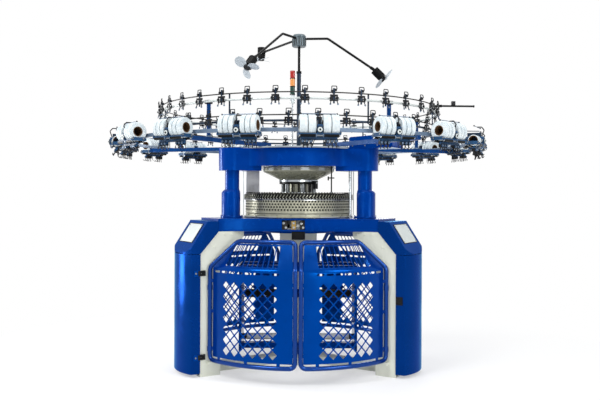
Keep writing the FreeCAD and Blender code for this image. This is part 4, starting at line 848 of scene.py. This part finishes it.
def gate():
    """The right gate: frame, sheet with its window and slots, hinge collars and rivets."""
    first, last = 1.25, GATE_END
    top_first = math.degrees(math.asin(GATE_R * math.sin(math.radians(first)) / GATE_TOP_R))
    framed = gate_frame(first, last, top_first, 38).add(tabs(first, last, (9, 25, 41)))
    for height in (240, 760):
        collar = disc(TUBE + 4, height - 22, height + 22, 24, "blue_tube", 2, TUBE - 1)
        framed.add(collar.moved(*at(last, GATE_R)))
    holes = diamonds(9.2, 38.6, 6) + bend_holes(9.4, 11) + slits(8.6, 8)
    sheet = gate_sheet(first + 1.15, last - 2.5, 3.3, 36.6, holes)
    for height in (190, 360, 530, 700, 860):
        rivet = disc(6, 0, 2.6, 12, "blue", 1.2).outwards(0, GATE_R + 1, height)
        sheet.add(rivet.around((5.5, 42.5)))
    return framed, sheet


def guard():
    """A rear guard: the same sheet and frame over a whole bay."""
    end, corner = GATE_END, 38
    framed = gate_frame(-end, end, -corner, corner).add(tabs(-end, end, (-40, -20, 0, 20, 40)))
    holes = diamonds(-33.8, 33.8, 14) + bend_holes(-33.8, 26) + slits(-42.3, 19)
    return framed, gate_sheet(-end + 2.5, end - 2.5, -36.6, 36.6, holes)


def gates():
    tubes, sheet = gate()
    for side, pair in (("right", (tubes, sheet)), ("left", (tubes.mirrored(), sheet.mirrored()))):
        for form, word, node in zip(pair, ("tubes", "sheet"), ("frame", "panel")):
            piece(f"gate_{word}_{side}", form, "cover_paint", [f"gate_{node}_{side}"],
                  body=f"gate_{side}")
    tubes, sheet = guard()
    piece("guard_tubes", tubes.around((120, -120)), "cover_paint", ["rear_guards"])
    piece("guard_sheets", sheet.around((120, -120)), "cover_paint")


# ------------------------------------------------------------ table and drive


def table_outline():
    """The hexagon with its three arms, anticlockwise."""
    root = 2 * TABLE_FLAT - math.sqrt(3) * LEG_HALF
    corners = ((-LEG_HALF, root), (-LEG_HALF, ARM_OUT), (LEG_HALF, ARM_OUT), (LEG_HALF, root))
    return [tuple(at(angle, reach, 0, x)[:2]) for angle in LEGS_AROUND for x, reach in corners]


def table():
    """The casting: a floor and, above it, a body with an opening at the front."""
    outer = table_outline()
    form = slab(outer, [circle(342, 64)], TABLE_LOW, TABLE_LOW + 14, "deep_blue")
    room, left, right = 456, -143, 56
    start, end = math.asin(right / room), 2 * math.pi + math.asin(left / room)
    arc = [(room * math.sin(t), -room * math.cos(t))
           for t in (start + (end - start) * i / 60 for i in range(61))]
    notch = [(left, -TABLE_FLAT), *arc[::-1], (right, -TABLE_FLAT)]
    return form.add(slab(notch + outer, [], TABLE_LOW + 14, TABLE_HIGH, "deep_blue"))


def lid():
    form = slab(table_outline(), [circle(354, 72)], TABLE_HIGH, TABLE_TOP, "deep_blue")
    return form.add(socket_head(7, 6).spread(evenly(12, 15), 535, TABLE_TOP))


def toothed(pitch, teeth, low, high, inner, deep=9.0):
    """A spur gear with many teeth and a bore."""
    outer = []
    for i in range(teeth):
        for share, reach in ((0.0, 7 - deep), (0.28, 7 - deep), (0.42, 7), (0.86, 7)):
            t = 2 * math.pi * (i + share) / teeth
            outer.append(((pitch + reach) * math.sin(t), -(pitch + reach) * math.cos(t)))
    return slab(outer, [circle(inner, 72 if inner > 60 else 24)], low, high, "steel")


def notch_parts():
    """Steel lugs, bolts and a brass block in the table's front opening; the lugs are blackened,
    partly as painted shade for the dark inside of the opening.
    """
    # The blackened lugs are partly painted shade: they darken the opening where it lies in shadow.
    form = boxes("dark_ring", (-140, -96, 462, 536, 1244, 1316), (14, 53, 462, 536, 1244, 1310))
    form.add(boxes("brass", (-60, -22, 462, 520, 1244, 1318)),
             boxes("steel", (-96, 14, 470, 500, 1244, 1256)))
    for x, height, out in ((-128, 1300, 536), (-108, 1262, 536), (-41, 1300, 520),
                           (-41, 1262, 520), (26, 1296, 536), (42, 1262, 536)):
        form.add(hexagon_head(8, 7, "bright").outwards(0, out, height, x))
    return form


def motor():
    """The main motor with its ribs, terminal box and foot."""
    form = disc(76, 800, 1080, 40, "black", 4)
    return form.add(disc(84, 800, 826, 40, "black", 6), disc(84, 1074, 1099.5, 40, "black", 4),
                    boxes("black", (1.8, 74, 83, 830, 1070)).around(evenly(30)),
                    boxes("black", (30, -84, -60, 870, 1020)).turned(DRIVE),
                    boxes("black", (42, 60, 84, 900, 980)).turned(DRIVE + 90))


def belt():
    """The flat belt round the two wheels, drawn at the front."""
    lean = math.asin((WHEEL - MOTOR_WHEEL) / (MOTOR_OUT - SHAFT_OUT))
    bends = ((MOTOR_WHEEL, MOTOR_OUT, lean - math.pi / 2, math.pi - 2 * lean),
             (WHEEL, SHAFT_OUT, math.pi / 2 - lean, math.pi + 2 * lean))
    inner, outer = ([((radius + extra) * math.sin(t), -out - (radius + extra) * math.cos(t))
                     for radius, out, begin, span in bends
                     for t in (begin + span * i / 16 for i in range(17))] for extra in (3.0, 6.0))
    return slab(outer, [inner], 1250, 1270, "rubber")


def drive():
    piece("notch_block", notch_parts(), "steel", bevel=1.5)
    piece("table_body", table(), "cover_paint", ["machine_table"], 3)
    piece("table_lid", lid(), "cover_paint", ["table_top"], 2)
    stop = boxes("black", (58, 470, 540, 1156, 1229))
    stop.add(boxes("rubber", (44, 540, 546, 1166, 1219)))
    piece("gate_stop_block", stop, "dark_paint", ["gate_stop"], 3)
    piece("ring_gear_teeth", toothed(432, 144, 1285, 1320, 290), "steel", ["ring_gear"], 0.6,
          "rotor", steps=1)
    piece("dial_gear_teeth", toothed(432, 144, 1880, 1915, 30), "steel", ["dial_gear"],
          body="dial_group")
    small = toothed(108, 36, 1285, 1320, 14).add(toothed(108, 36, 1880, 1915, 14))
    shaft = disc(14, 1243.6, 1915, 32, "bright", 1.5)
    wheel = toothed(WHEEL - 7, 40, 1249, 1271, 14, 5)
    for name, form, node in (("pinion_teeth", small, "pinions"), ("drive_bar", shaft, "drive_shaft"),
                             ("shaft_wheel", wheel, "shaft_pulley")):
        piece(name, form.moved(*at(DRIVE, SHAFT_OUT)), "steel", [node], body="drive_line")
    wheel = toothed(MOTOR_WHEEL - 7, 20, 1249, 1271, 4, 5).add(disc(12, 1100.5, 1249, 24, "bright"))
    place = at(DRIVE, MOTOR_OUT)
    piece("motor_wheel", wheel.moved(*place), "steel", ["motor_pulley"], body="motor_line")
    piece("motor_body", motor().moved(*place), "dark_paint", ["main_motor"], 1.2)
    piece("belt_loop", belt().turned(DRIVE), "belt_rubber", ["drive_belt"])
    repaint("floor_base", "cream")


# ------------------------------------------------------------ knitting head


def cam_segment():
    """One cam box with its staggered cap screws, row over row."""
    turn = math.radians(180.0 / CAMS)
    half, small = 494 * math.tan(turn) - 1.4, 392 * math.tan(turn) - 1.0
    section = [(-half, -494), (half, -494), (small, -392), (-small, -392)]
    form = prism(section, CAM_LOW + 0.5, CAM_TOP - 0.5, "alloy")
    screw = lathe([(8.6, 0), (8.6, 2.0), (5.0, 2.4), (4.4, 0.8), (0, 0.8)], 8, "black")
    for row in range(4):
        side = half * (0.45 - 0.9 * (row % 2))
        form.add(screw.outwards(0, 493.5, CAM_LOW + 14 + row * 25, side))
    return form


def feeder():
    """A yarn feeder on the dark ring: block, slanted lever, clamp and ceramic eye."""
    form = boxes("black", (11, 496.3, 506, 1513, 1553))
    lever = boxes("silver", (2.2, 506.3, 510, -17, 17))
    slant = Matrix.Translation((0, 0, 1534)) @ Matrix.Rotation(0.6, 4, "Y")
    return form.add(boxes("dark_ring", (3.5, 500, 511, 1503, 1516)), lever.placed(slant),
                    band(2.2, 4.4, -2, 2, 8, "ceramic").outwards(0, 510, 1512),
                    lathe([(5, 0), (5, 11), (0, 11)], 8, "dark_ring").moved(0, -488, FEEDER_TOP))


def cam_rings():
    """The cam segments on their saddle and the dark ring of feeders above them."""
    cams = evenly(CAMS, 180.0 / CAMS)
    piece("cam_segments", cam_segment().around(cams), "alloy", ["cam_boxes"], smooth=25)
    saddle = lathe([(386, 1376), (486, 1376), (498, 1384), (498, 1400), (386, 1400)], 120, "alloy")
    foot = boxes("deep_blue", (52, 404, 484, TABLE_TOP, 1376))
    saddle.add(foot.around((-40, 0, 40, 140, 180, 220)),
               lathe([(470, 1344), (505, 1344), (507, 1346), (507, 1352), (492, 1356),
                      (492, 1376), (470, 1376)], 120, "alloy"),
               socket_head(5.5, 5).outwards(0, 492, 1366).around(evenly(24, 7.5)))
    piece("cam_saddle_ring", saddle, "steel", ["cam_saddle"], 1.5)
    ring = lathe([(446, 1502), (494, 1502), (496, 1504), (496, 1511), (488, 1516), (488, 1550),
                  (496, 1554), (496, 1558), (494, 1560), (446, 1560)], 120, "dark_ring")
    ring.add(band(494, 503, 1499, 1504, 120, "bright"))
    piece("feeder_ring_band", ring, "cast", ["feeder_ring"])
    piece("feeders", feeder().around(cams), "steel", ["yarn_feeders"], 0.6, steps=1)


def needle_beds():
    """The cylinder, the dial on its axle and the dial's cams."""
    cylinder = lathe([(328, 1320.4), (346, 1320.4), (346, 1378), (375, 1378), (375, 1512),
                      (372, 1515), (330, 1515), (328, 1513)], 120, "bright")
    cylinder.add(boxes("bright", (0.9, 372.4, 375, 1512, 1530)).around(evenly(360)))
    piece("cylinder_body", cylinder, "bright_steel", ["needle_cylinder"], body="rotor")
    plate = lathe([(30.5, 1518), (370, 1518), (371.5, 1520), (371.5, 1532), (369, 1534),
                   (30.5, 1534)], 120, "bright")
    piece("dial_plate", plate, "bright_steel", ["dial"], body="dial_group")
    axle = disc(30, 1518, 1915, 40, "bright")
    piece("dial_axle", axle, "steel", ["dial_shaft"], body="dial_group")
    cam = lathe([(34, 1537), (360, 1537), (362, 1539), (362, 1557), (360, 1559), (34, 1559)],
                96, "alloy")
    cam.add(socket_head(6, 5).spread(evenly(36, 5), 346, 1559),
            boxes("alloy", (14, 270, 330, 1559, 1567)).around(evenly(36, 5)))
    piece("dial_cams", cam, "alloy", ["dial_cam_plate"], 1, steps=1)


def hub():
    """The columns on the dial cams, the cone above them and the bearings."""
    columns = disc(20, 1559, 1665, 24, "steel", 2).spread(evenly(6, 15), 148)
    columns.add(disc(7, 1559, 1665, 12, "dark_ring").spread(evenly(12), 116),
                lathe([(128, 1648), (178, 1648), (180, 1650), (180, 1664.5), (128, 1664.5)],
                      64, "black"), band(128, 174, 1559.5, 1572, 64, "bright"))
    piece("columns", columns, "steel", ["hub_columns"])
    cone = lathe([(34, 1559.5), (90, 1559.5), (90, 1665), (176, 1665), (180, 1668), (180, 1676),
                  (170, 1678), (170, 1684), (182, 1690), (322, 1758), (330, 1765), (330, 1797),
                  (326, 1803), (34, 1803)], 96, "silver")
    plate = boxes("plate", (38, 329.4, 333.5, 1770, 1796))
    for x in (-30, 30):
        plate.add(socket_head(4, 3).outwards(0, 333.5, 1783, x))
    cone.add(plate.around(evenly(12, 10)),
             lathe([(176, 1665), (183, 1667), (184, 1686), (176, 1687)], 96, "bright"),
             lathe([(322, 1757), (331.5, 1764.5), (331.5, 1768), (322, 1768)], 96, "alloy"))
    piece("cone", cone, "silver_paint", ["hub_cone"], 0.8, steps=1)
    bearings = band(346, 415, 1250, 1284.7, 96, "bright")
    bearings.add(band(34, 90, 1868, 1879.7, 48, "bright"))
    piece("bearing_rings", bearings, "bright_steel", ["ring_bearings"])
    sensor = boxes("plastic", (19, 186, 214, 1603, 1678))
    sensor.add(boxes("plate", (11, 214, 217, 1650, 1668)))
    piece("stop_sensor", sensor.turned(52), "dark_paint", bevel=2)


def head_pipes():
    """The oil rod with its cross bracket, and the pale hoses that come down beside the head."""
    rod = disc(6.0, FEEDER_TOP + 0.5, FRAME_LOW, 14, "black", 0.5)
    rod.add(boxes("black", (-34, 26, -5, 5, 1694, 1704)), disc(11, 1560.5, 1574, 16, "steel"),
            boxes("plastic", (-34, -22, -9, 9, 1678, 1712)))
    piece("oil_rod", rod.moved(*at(OIL_TURN, OIL_R)), "dark_paint", bevel=0.8, steps=1)
    hoses = Form()
    clip = boxes("steel", (7, HOOP_R - 7, HOOP_R + 7, TABLE_TOP, HOOP_LOW + 5))
    for mark in (-1, 1):
        run = [at(mark * 90, HOOP_R, FRAME_LOW), at(mark * 90, HOOP_R, HOOP_LOW)]
        run += [at(mark * a, HOOP_R, HOOP_LOW) for a in range(76, 20, -6)]
        hoses.add(tube(rounded(run, [0, 60] + [0] * (len(run) - 2), 6), 4, 10, "plate"),
                  clip.around((mark * 70, mark * 46)))
    piece("air_hoses", hoses, "steel")


# ------------------------------------------------------------ posts and upper frame


def post():
    """A post with its flange; its thick foot stands a little further out than its neck."""
    form = disc(100, TABLE_TOP, TABLE_TOP + 20, 48, "deep_blue", 3)
    loops = [[(x, y - shift, height) for x, y in circle(radius)]
             for height, radius, shift in POST_LEVELS]
    bolts = hexagon_head(5.5, 7, "deep_blue").spread(evenly(8, 22.5), 93, TABLE_TOP + 20)
    return form.add(rings(loops, False, "deep_blue"), bolts).moved(0, -POST_R)


def frame_outline():
    """The upper frame in plan: a disc with three rounded lobes, filleted where they join."""
    reach = math.sqrt((FRAME_R + FILLET) ** 2 - (LOBE + FILLET) ** 2)
    meet = math.atan2(LOBE + FILLET, reach)
    turns = [meet + (math.pi / 2 - meet) * k / 8 for k in range(9)]
    bend = [(reach - FILLET * math.cos(t), LOBE + FILLET - FILLET * math.sin(t)) for t in turns]
    free = 120 - 2 * math.degrees(meet)
    line = []
    for angle in LEGS_AROUND:
        line += [at(angle, out, 0, -side) for out, side in bend]
        line += [at(angle, POST_R + LOBE * math.sin(t), 0, -LOBE * math.cos(t))
                 for t in (math.pi * k / 20 for k in range(21))]
        line += [at(angle, out, 0, side) for out, side in bend[::-1]]
        line += [at(angle + math.degrees(meet) + free * i / 22, FRAME_R) for i in range(1, 22)]
    return [(p.x, p.y) for p in line]


def lobe_outline(near, half):
    """A lobe in plan, from its root to its round end at a post."""
    turns = [math.pi * k / 20 for k in range(21)]
    line = [(half * math.cos(t), -POST_R - half * math.sin(t)) for t in turns]
    return [(-half, -near), *line[::-1], (half, -near)]


def upper_frame():
    outer = frame_outline()
    form = slab(outer, [circle(37, 32)], FRAME_LOW, 1868, "deep_blue")
    lobe = prism(lobe_outline(FRAME_R - 90, LOBE - 1), 1761, FRAME_LOW + 4, "deep_blue")
    form.add(slab(outer, [circle(456, 72)], 1868, FRAME_TOP, "deep_blue"), lobe.around(LEGS))
    for angle in LEGS:
        for lean in (-38, 38, 142, 218):
            place = at(angle, POST_R, FRAME_TOP) + at(angle + lean, 92)
            form.add(hexagon_head(9, 10).moved(*place))
    return form


def drive_hood():
    side = [(1000, FRAME_TOP), (586, FRAME_TOP), (586, 2054), (596, 2062), (984, 2080),
            (1000, 2066)]
    form = side_plate(side, (-120, 120), "blue")
    form.add(boxes("blue", (121.2, 786, 789, FRAME_TOP + 6, 2060)))
    for reach in (620, 740, 860, 960):
        for mark in (-1, 1):
            form.add(socket_head(6, 4).across(mark * 120, reach, 1982, mark))
    return form


def control_housing():
    """The control box with its grille, screen, buttons and hanger."""
    form = boxes("grey_box", (115, 515, 600, 1450, 1790), (109, 600, 605, 1456, 1784))
    grille = [(60, 605, 606.5, low, low + 4) for low in range(1480, 1557, 11)]
    form.add(boxes("steel", (28, 538, 582, 1790, FRAME_LOW)),
             boxes("black", *grille, (60, 605, 608, 1650, 1740)),
             boxes("plastic", (54, 608, 609, 1656, 1734)),
             disc(9, 0, 5, 20, "black").outwards(0, 605, 1620, 92))
    for height in (1500, 1740):
        form.add(disc(5, height, height + 44, 14, "steel").moved(-114, -604))
    for side, word in ((30, "green_lens"), (-4, "amber_lens"), (-38, "red_lens")):
        button = disc(13, 0, 4, 24, "steel").add(disc(9.5, 4, 11, 24, word, 2))
        form.add(button.outwards(0, 605, 1600, side))
    return form


def upper_parts():
    piece("posts", post().around(LEGS), "cover_paint", ["frame_posts"])
    piece("top_casting", upper_frame(), "cover_paint", ["upper_frame"], 4, steps=3)
    plate = disc(580, FRAME_TOP, DECK, 120, "deck", 2)
    plate.add(hexagon_head(8, 8).spread(evenly(18, 10), 555, DECK))
    piece("deck", plate, "alloy", ["top_plate"])
    piece("drive_hood", drive_hood().turned(DRIVE), "cover_paint", ["drive_cover"], 5, steps=3)
    piece("control_housing", control_housing().turned(PANEL), "box_grey", ["control_box"], 3)


# ------------------------------------------------------------ creel


def yarn_guide():
    """A clamp on the rings with a stop hook, tension discs and two eyes; z = 0 at its foot."""
    form = boxes("plastic", (13, 0, 16, 34, 66), (12, 0, 14, 88, 108), (30, 10, 24, 64, 78),
                 (34, 12, 20, 28, 38), (-24, -8, 12, 24, 92, 114), (8, 22, 13, 22, 104, 124))
    form.add(boxes("mast", (7, 13, 17, 10, 128)))
    for x in (-24, 24):
        form.add(disc(12, 0, 3, 14, "bright", 0.8).outwards(0, 20, 50, x),
                 disc(13, 0, 2.6, 14, "plastic", 0.8).outwards(0, 25, 50, x),
                 disc(3.4, 0, 15, 8, "plastic", 0.8).outwards(0, 19, 50, x),
                 tube([(x, -16, 32), (x * 1.25, -24, 6)], 3.8, 8, "plastic"),
                 band(3.2, 7.4, -2.6, 2.6, 10, "rail").outwards(0, 24, 4, x * 1.25, lift=28))
    hook = rounded([(-18, -17, 104), (-18, -17, 143), (20, -19, 143), (22, -24, 118)], 4, 2)
    return form.add(tube(hook, 3.6, 7, "plastic")).moved(0, -GUIDE_R)


def package(start, end, full, bands, gap=5.0):
    """Wound bands side by side along x on one card core; a spent one is only a thin layer."""
    width = (end - start - gap * (bands - 1)) / bands
    form = band(33, 39, 0, end - start, 32, "card")
    edge = min(7.0, full - 40)
    for i in range(bands):
        low = i * (width + gap) + (1.5 if i == 0 else 0)
        high = i * (width + gap) + width - (1.5 if i == bands - 1 else 0)
        middle = (low + high) / 2
        form.add(lathe([(38, low), (full - edge, low), (full - 1.4, low + edge / 3),
                        (full, low + edge), (full, middle - 3), (full - 1.6, middle),
                        (full, middle + 3), (full, high - edge), (full - 1.4, high - edge / 3),
                        (full - edge, high), (38, high)], 40, "yarn"))
    return form.across(start, 0, 0)


def roller(radius, length, x, out, height, word, sides=16, edge=1.0):
    """A turned piece that lies along x, from its middle."""
    return disc(radius, -length / 2, length / 2, sides, word, edge).across(x, out, height)


def device_head():
    """The drive block of a device with its guide arm, cheeks and tie bars."""
    form = boxes("blue_plastic", (20, 1574.5, 1722, 1978, 2046), (148, 1708, 1716, 1972, 1984),
                 (148, 1594, 1602, 1972, 1984))
    form.add(boxes("mast", (14, 1584, 1700, 2046, 2078)),
             boxes("plastic", (16, 1540, 1600, 1990, 2006), (24, 1600, 1690, 1962, 1980)),
             roller(26, 50, 0, 1612, 2012, "plastic", 28, 2), roller(15, 56, 0, 1700, 2010, "steel"))
    for radius, out, word in ((25, 1722, "mast"), (17, 1727, "plate"), (7, 1731, "black")):
        form.add(disc(radius, 0, 7, 24, word).outwards(0, out, 2008))
    arm = rounded([(0, -1705, 2050), (0, -1722, 2100), (0, -1700, 2126), (0, -1664, 2126)], 12, 4)
    form.add(tube(arm, 4.5, 8, "plastic"), roller(2.8, 262, 0, 1664, 2126, "rail", 8))
    cheek = [(1592, 1972), (1718, 1972), (1718, 1984), (1704, 2000), (1606, 2000), (1592, 1988)]
    for mark in (-1, 1):
        form.add(roller(6, 8, mark * 130, 1664, 2126, "plastic", 12),
                 side_plate(cheek, sorted((mark * 148, mark * 152)), "blue_plastic"))
        for out in ROLLER_LINES:
            form.add(roller(7, 5, mark * 154, out, 1988, "steel", 14))
    return form


def device_rollers():
    form = Form()
    for out in ROLLER_LINES:
        form.add(roller(8, 48, 0, out, ROLLER_Z, "steel", 12))
        for mark in (-1, 1):
            form.add(roller(ROLLER, 116, mark * 82, out, ROLLER_Z, "black", 24),
                     roller(ROLLER - 3, 8, mark * 143, out, ROLLER_Z, "bright"),
                     roller(ROLLER + 2.5, 6, mark * 26, out, ROLLER_Z, "rail"))
    return form


def stop_unit():
    """One yarn stop of the comb: moulding, drop wire, roller and eye."""
    wire = [(-5, -1676, 1918), (-6, -1688, 1896), (8, -1690, 1890), (12, -1700, 1904)]
    form = boxes("plastic", (9, 1648, 1674, 1916, 1944))
    return form.add(boxes("blue_plastic", (6, 1674, 1681, 1920, 1941)),
                    roller(9, 7, 12, 1668, 1934, "blue_plastic", 14),
                    tube(rounded(wire, 6, 3), 2.4, 6, "plastic"),
                    tube([(6, -1656, 1916), (9, -1650, 1884)], 3.2, 7, "plastic"),
                    band(3.4, 7.6, -2.4, 2.4, 10, "rail").outwards(0, 1684, 1930))


def device_comb():
    form = boxes("blue_plastic", (132, 1652, 1670, 1941, 1960), (24, 1646, 1676, 1950, 1984))
    form.add(boxes("plastic", (-132, -96, 1640, 1660, 1950, 1962), (96, 132, 1640, 1660, 1950, 1962)))
    for x in (-120, -90, -60, 60, 90, 120):
        form.add(stop_unit().moved(x))
    for x in (-30, 30):
        form.add(tube([(x, -1660, 1946), (x * 1.6, -1640, 1900)], 3, 7, "plastic"))
    return form.add(roller(3.6, 290, 0, 1636, 1962, "plastic", 8))


def creel_bars():
    """The arms from the deck, with their posts and clamps, and the uprights of the tier rings."""
    arm = boxes("navy", (18, 440, 1572, DECK + 0.3, BAR_TOP))
    for reach in (470, 540):
        arm.add(hexagon_head(8, 8).moved(0, -reach, BAR_TOP))
    arm.add(boxes("plastic", (24, 1214, 1256, 2104, 2134), (24, 1214, 1256, 2275, 2305)))
    return arm.around(ARMS).add(disc(17.5, BAR_TOP, 2301, 24, "navy", 1.5).spread(ARMS, 1233),
                                disc(26, BAR_TOP, 2020, 24, "rail", 1.5).spread(ARMS, 1233),
                                boxes("mast", (5, 1241, 1251, 2108, 2343)).around(UPRIGHTS))


def creel():
    piece("creel_bars", creel_bars(), "alloy", ["creel_frame"], 2)
    ring = band(1547, 1573, BAR_TOP, 2036, 144, "rail")
    piece("spool_ring_bar", ring, "alloy", ["spool_ring"], 2)
    tiers = Form()
    for out, height, thickness, word, sides in (
            (4, 2290, 9, "plate", 10), (4, 2119, 9, "mast", 10),
            (8, 2338, 5, "dark_ring", 8), (8, 2163, 5, "dark_ring", 8)):
        path = [at(a, TIER_R + out, height) for a in evenly(96)]
        tiers.add(tube(path, thickness, sides, word, closed=True))
    piece("tier_rings", tiers, "alloy", ["guide_rings"])
    pair = yarn_guide().around((-5, 5))
    guides = pair.moved(z=2240).around(evenly(18, 7))
    guides.add(pair.moved(z=2066).around(evenly(18, 11.5)))
    piece("guides", guides, "guide_plastic", ["yarn_guides"])
    angles = evenly(DEVICES, DEVICE_FIRST)
    for name, form, word, node in (
            ("heads", device_head(), "device_plastic", "device_heads"),
            ("rollers", device_rollers(), "bright_steel", "feed_rollers"),
            ("combs", device_comb(), "guide_plastic", "guide_combs")):
        piece(name, form.around(angles), word, [node])
    wound = Form()
    for angle in angles:
        full = SPENT if angle in SPENT_DEVICES else FULL
        lift = math.sqrt((full + ROLLER + 0.2) ** 2 - ROLLER_GAP ** 2)
        bands = 2 if angle == DEVICE_FIRST else 3
        both = package(-143.5, -24.5, full, bands).add(package(24.5, 143.5, full, bands))
        wound.add(both.moved(0, -BOBBIN_R, ROLLER_Z + lift).turned(angle))
    piece("packages", wound, "bobbin_yarn", ["bobbins"])


# ------------------------------------------------------------ mast, lamp and lint blower


def side_rods():
    """Rods that reach out over the right of the creel, with their clamps and collars."""
    form = boxes("plastic", (24, 1246, 1290, 2318, ROD_Z + 24),
                 (13, 1456, 1492, ROD_Z + 9, ROD_Z + 46),
                 (12, RING_R - 13, RING_R + 13, PIN_Z - 12, PIN_Z + 12))
    form.add(boxes("mast", (34, 1252, 1284, 2352, 2376)))
    for height in (2336, 2366, 2412):
        form.add(hexagon_head(9, 8, "bright").outwards(0, 1290, height))
    form.add(tube([(0, -ROD_OUT, ROD_Z), (0, -ROD_END, ROD_Z)], 9, 16, "black"),
             disc(12, 0, 10, 16, "plastic", 2).outwards(0, ROD_END - 8, ROD_Z),
             disc(13, 0, 26, 18, "black", 2).outwards(0, 1340, ROD_Z),
             tube([(0, -RING_R, 2036), (0, -RING_R, PIN_Z + 6)], 6, 12, "mast"),
             tube([(0, -RING_R + 14, PIN_Z), (0, -1728, PIN_Z)], 4.2, 10, "mast"))
    piece("side_rod_set", form.turned(SIDE_TURN), "dark_paint", bevel=1, steps=1)


def mast_and_lamp():
    mast = disc(50, DECK, 1984, 40, "steel", 2)
    mast.add(disc(20, 1984, 2700, 32, "mast"), disc(25, 2690, 2712, 32, "black", 2),
             disc(12.5, 2700, 2941, 24, "black"),
             hexagon_head(5, 6).moved(0, -38, 1984).around(evenly(6)))
    piece("mast_tube", mast, "bright_steel", ["mast"])
    pole = disc(8, DECK, 2404, 20, "bright").add(disc(20, DECK, 1982, 24, "black", 2))
    piece("lamp_rod", pole.moved(-60, -60), "bright_steel", ["lamp_pole"])
    stack = disc(24, 2702, 2705.8, 32, "red_lens", 1.5)
    for i, word in enumerate(("clear_lens", "green_lens", "amber_lens", "red_lens")):
        low = 2404 + 75.5 * i
        ribs = [(24.0 if k % 2 else 22.4, low + 8 + k * 8.2) for k in range(9)]
        stack.add(disc(25, low, low + 8, 32, "black" if i else "plate", 1.5),
                  lathe([(0, low + 8), *ribs, (22, low + 75), (0, low + 75)], 32, word))
    piece("lamp_stack", stack.moved(-60, -60), "lamp_plastic", ["lamp_lenses"])


def blades():
    """A fan's wheel: its hub and three broad blades, rounded at their tips."""
    loops = []
    for k in range(25):
        t = k / 24
        reach = 18 + 105 * t
        half = 16 + 30 * math.sin(math.pi * min(1, t * 0.95)) ** 0.8
        if t > 0.86:
            half *= math.sqrt(max(0.0, 1 - ((t - 0.86) / 0.14) ** 2)) * 0.98 + 0.02
        twist = math.radians(24 - reach * 0.07)
        line = [(reach, side * half * math.cos(twist), side * half * math.sin(twist) + 11.5)
                for side in (-1, -0.5, 0, 0.5, 1)]
        loops.append(line + [(x, y, z + 2.2) for x, y, z in line[::-1]])
    wing = rings(loops, False, "fan")
    return disc(30, 1, 24, 28, "plastic", 4).add(wing.around((0, 120, 240)))


def fan_motor():
    form = disc(38, -112, -2, 32, "black", 5)
    return form.add(disc(41, -112, -96, 32, "black", 3), disc(41, -14, -0.5, 32, "black", 3),
                    boxes("black", (1.5, 37, 40.5, -92, -18)).around(evenly(16)))


def lint_blower():
    """The hub on the mast, its three arms and, at the end of each, a motor with its fan."""
    low = BLOWER_LOW
    arms = lathe([(0, low), (60, low), (66, low + 5), (66, low + 78), (62, low + 82),
                  (66, low + 86), (66, low + 97), (54, low + 113), (0, low + 113)], 48, "hub")
    arms.add(boxes("dark_ring", (2.5, 64, 68, low + 8, low + 74)).around(evenly(18)))
    motors = Form()
    start, bend = Vector((0, -58, BLOWER_Z)), Vector((0, -269, BLOWER_Z))
    for name, (angle, face, flow) in FANS.items():
        flow = Vector(flow).normalized()
        lean = Vector((0, 0, 1)).rotation_difference(flow).to_matrix().to_4x4()
        turn = Matrix.Rotation(math.radians(angle), 4, "Z")
        place = turn @ Matrix.Translation(face) @ lean
        path = rounded([start, bend, Vector(face) - flow * MOTOR_LONG], 40, 5)
        if name == "back":
            path = [start, Vector((0, -742, BLOWER_Z))]
        socket = [path[-1] - (path[-1] - path[-2]).normalized() * 40, path[-1]]
        arms.add(tube(path, 11, 14, "black").turned(angle),
                 tube(socket, 15, 14, "black").turned(angle))
        motors.add(fan_motor().placed(place))
        piece(f"fan_{name}_blades", blades().placed(place), "fan_plastic", [f"fan_{name}"],
              body=f"blades_{name}")
    piece("blower_arms", arms, "dark_paint", ["blower_carrier"], body="blower")
    piece("fan_housings", motors, "dark_paint", ["fan_motors"], body="blower")


# ------------------------------------------------------------ take-down


def take_down():
    repaint("takedown_frame", "deep_blue")
    for side, out in (("front", 35.2), ("rear", -35.2)):
        name = f"nip_roller_{side}"
        low, high = (v * 1000 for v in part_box(name))
        form = disc(34, low.x + 22, high.x - 22, 48, "rubber", 2)
        form.add(disc(15, low.x, high.x, 24, "bright"))
        piece(name + "_cover", form.across(0, out, 620), "roller_rubber", [name],
              body=f"nip_{side}")
    low, high = (v * 1000 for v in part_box("cloth_roll"))
    roll = disc(27, low.x, high.x, 32, "dark_ring", 1.5)
    roll.add(disc(30, low.x + 40, high.x - 40, 40, "cloth", 2))
    piece("winding_roll", roll.across(0, 0, 215), "dark_paint", ["cloth_roll"],
          body="cloth_winder")


for build in (camera, backdrop, studio_floor, lamps, covers, gates, drive, cam_rings, needle_beds,
              hub, head_pipes, upper_parts, creel, side_rods, mast_and_lamp, lint_blower,
              take_down):
    build()
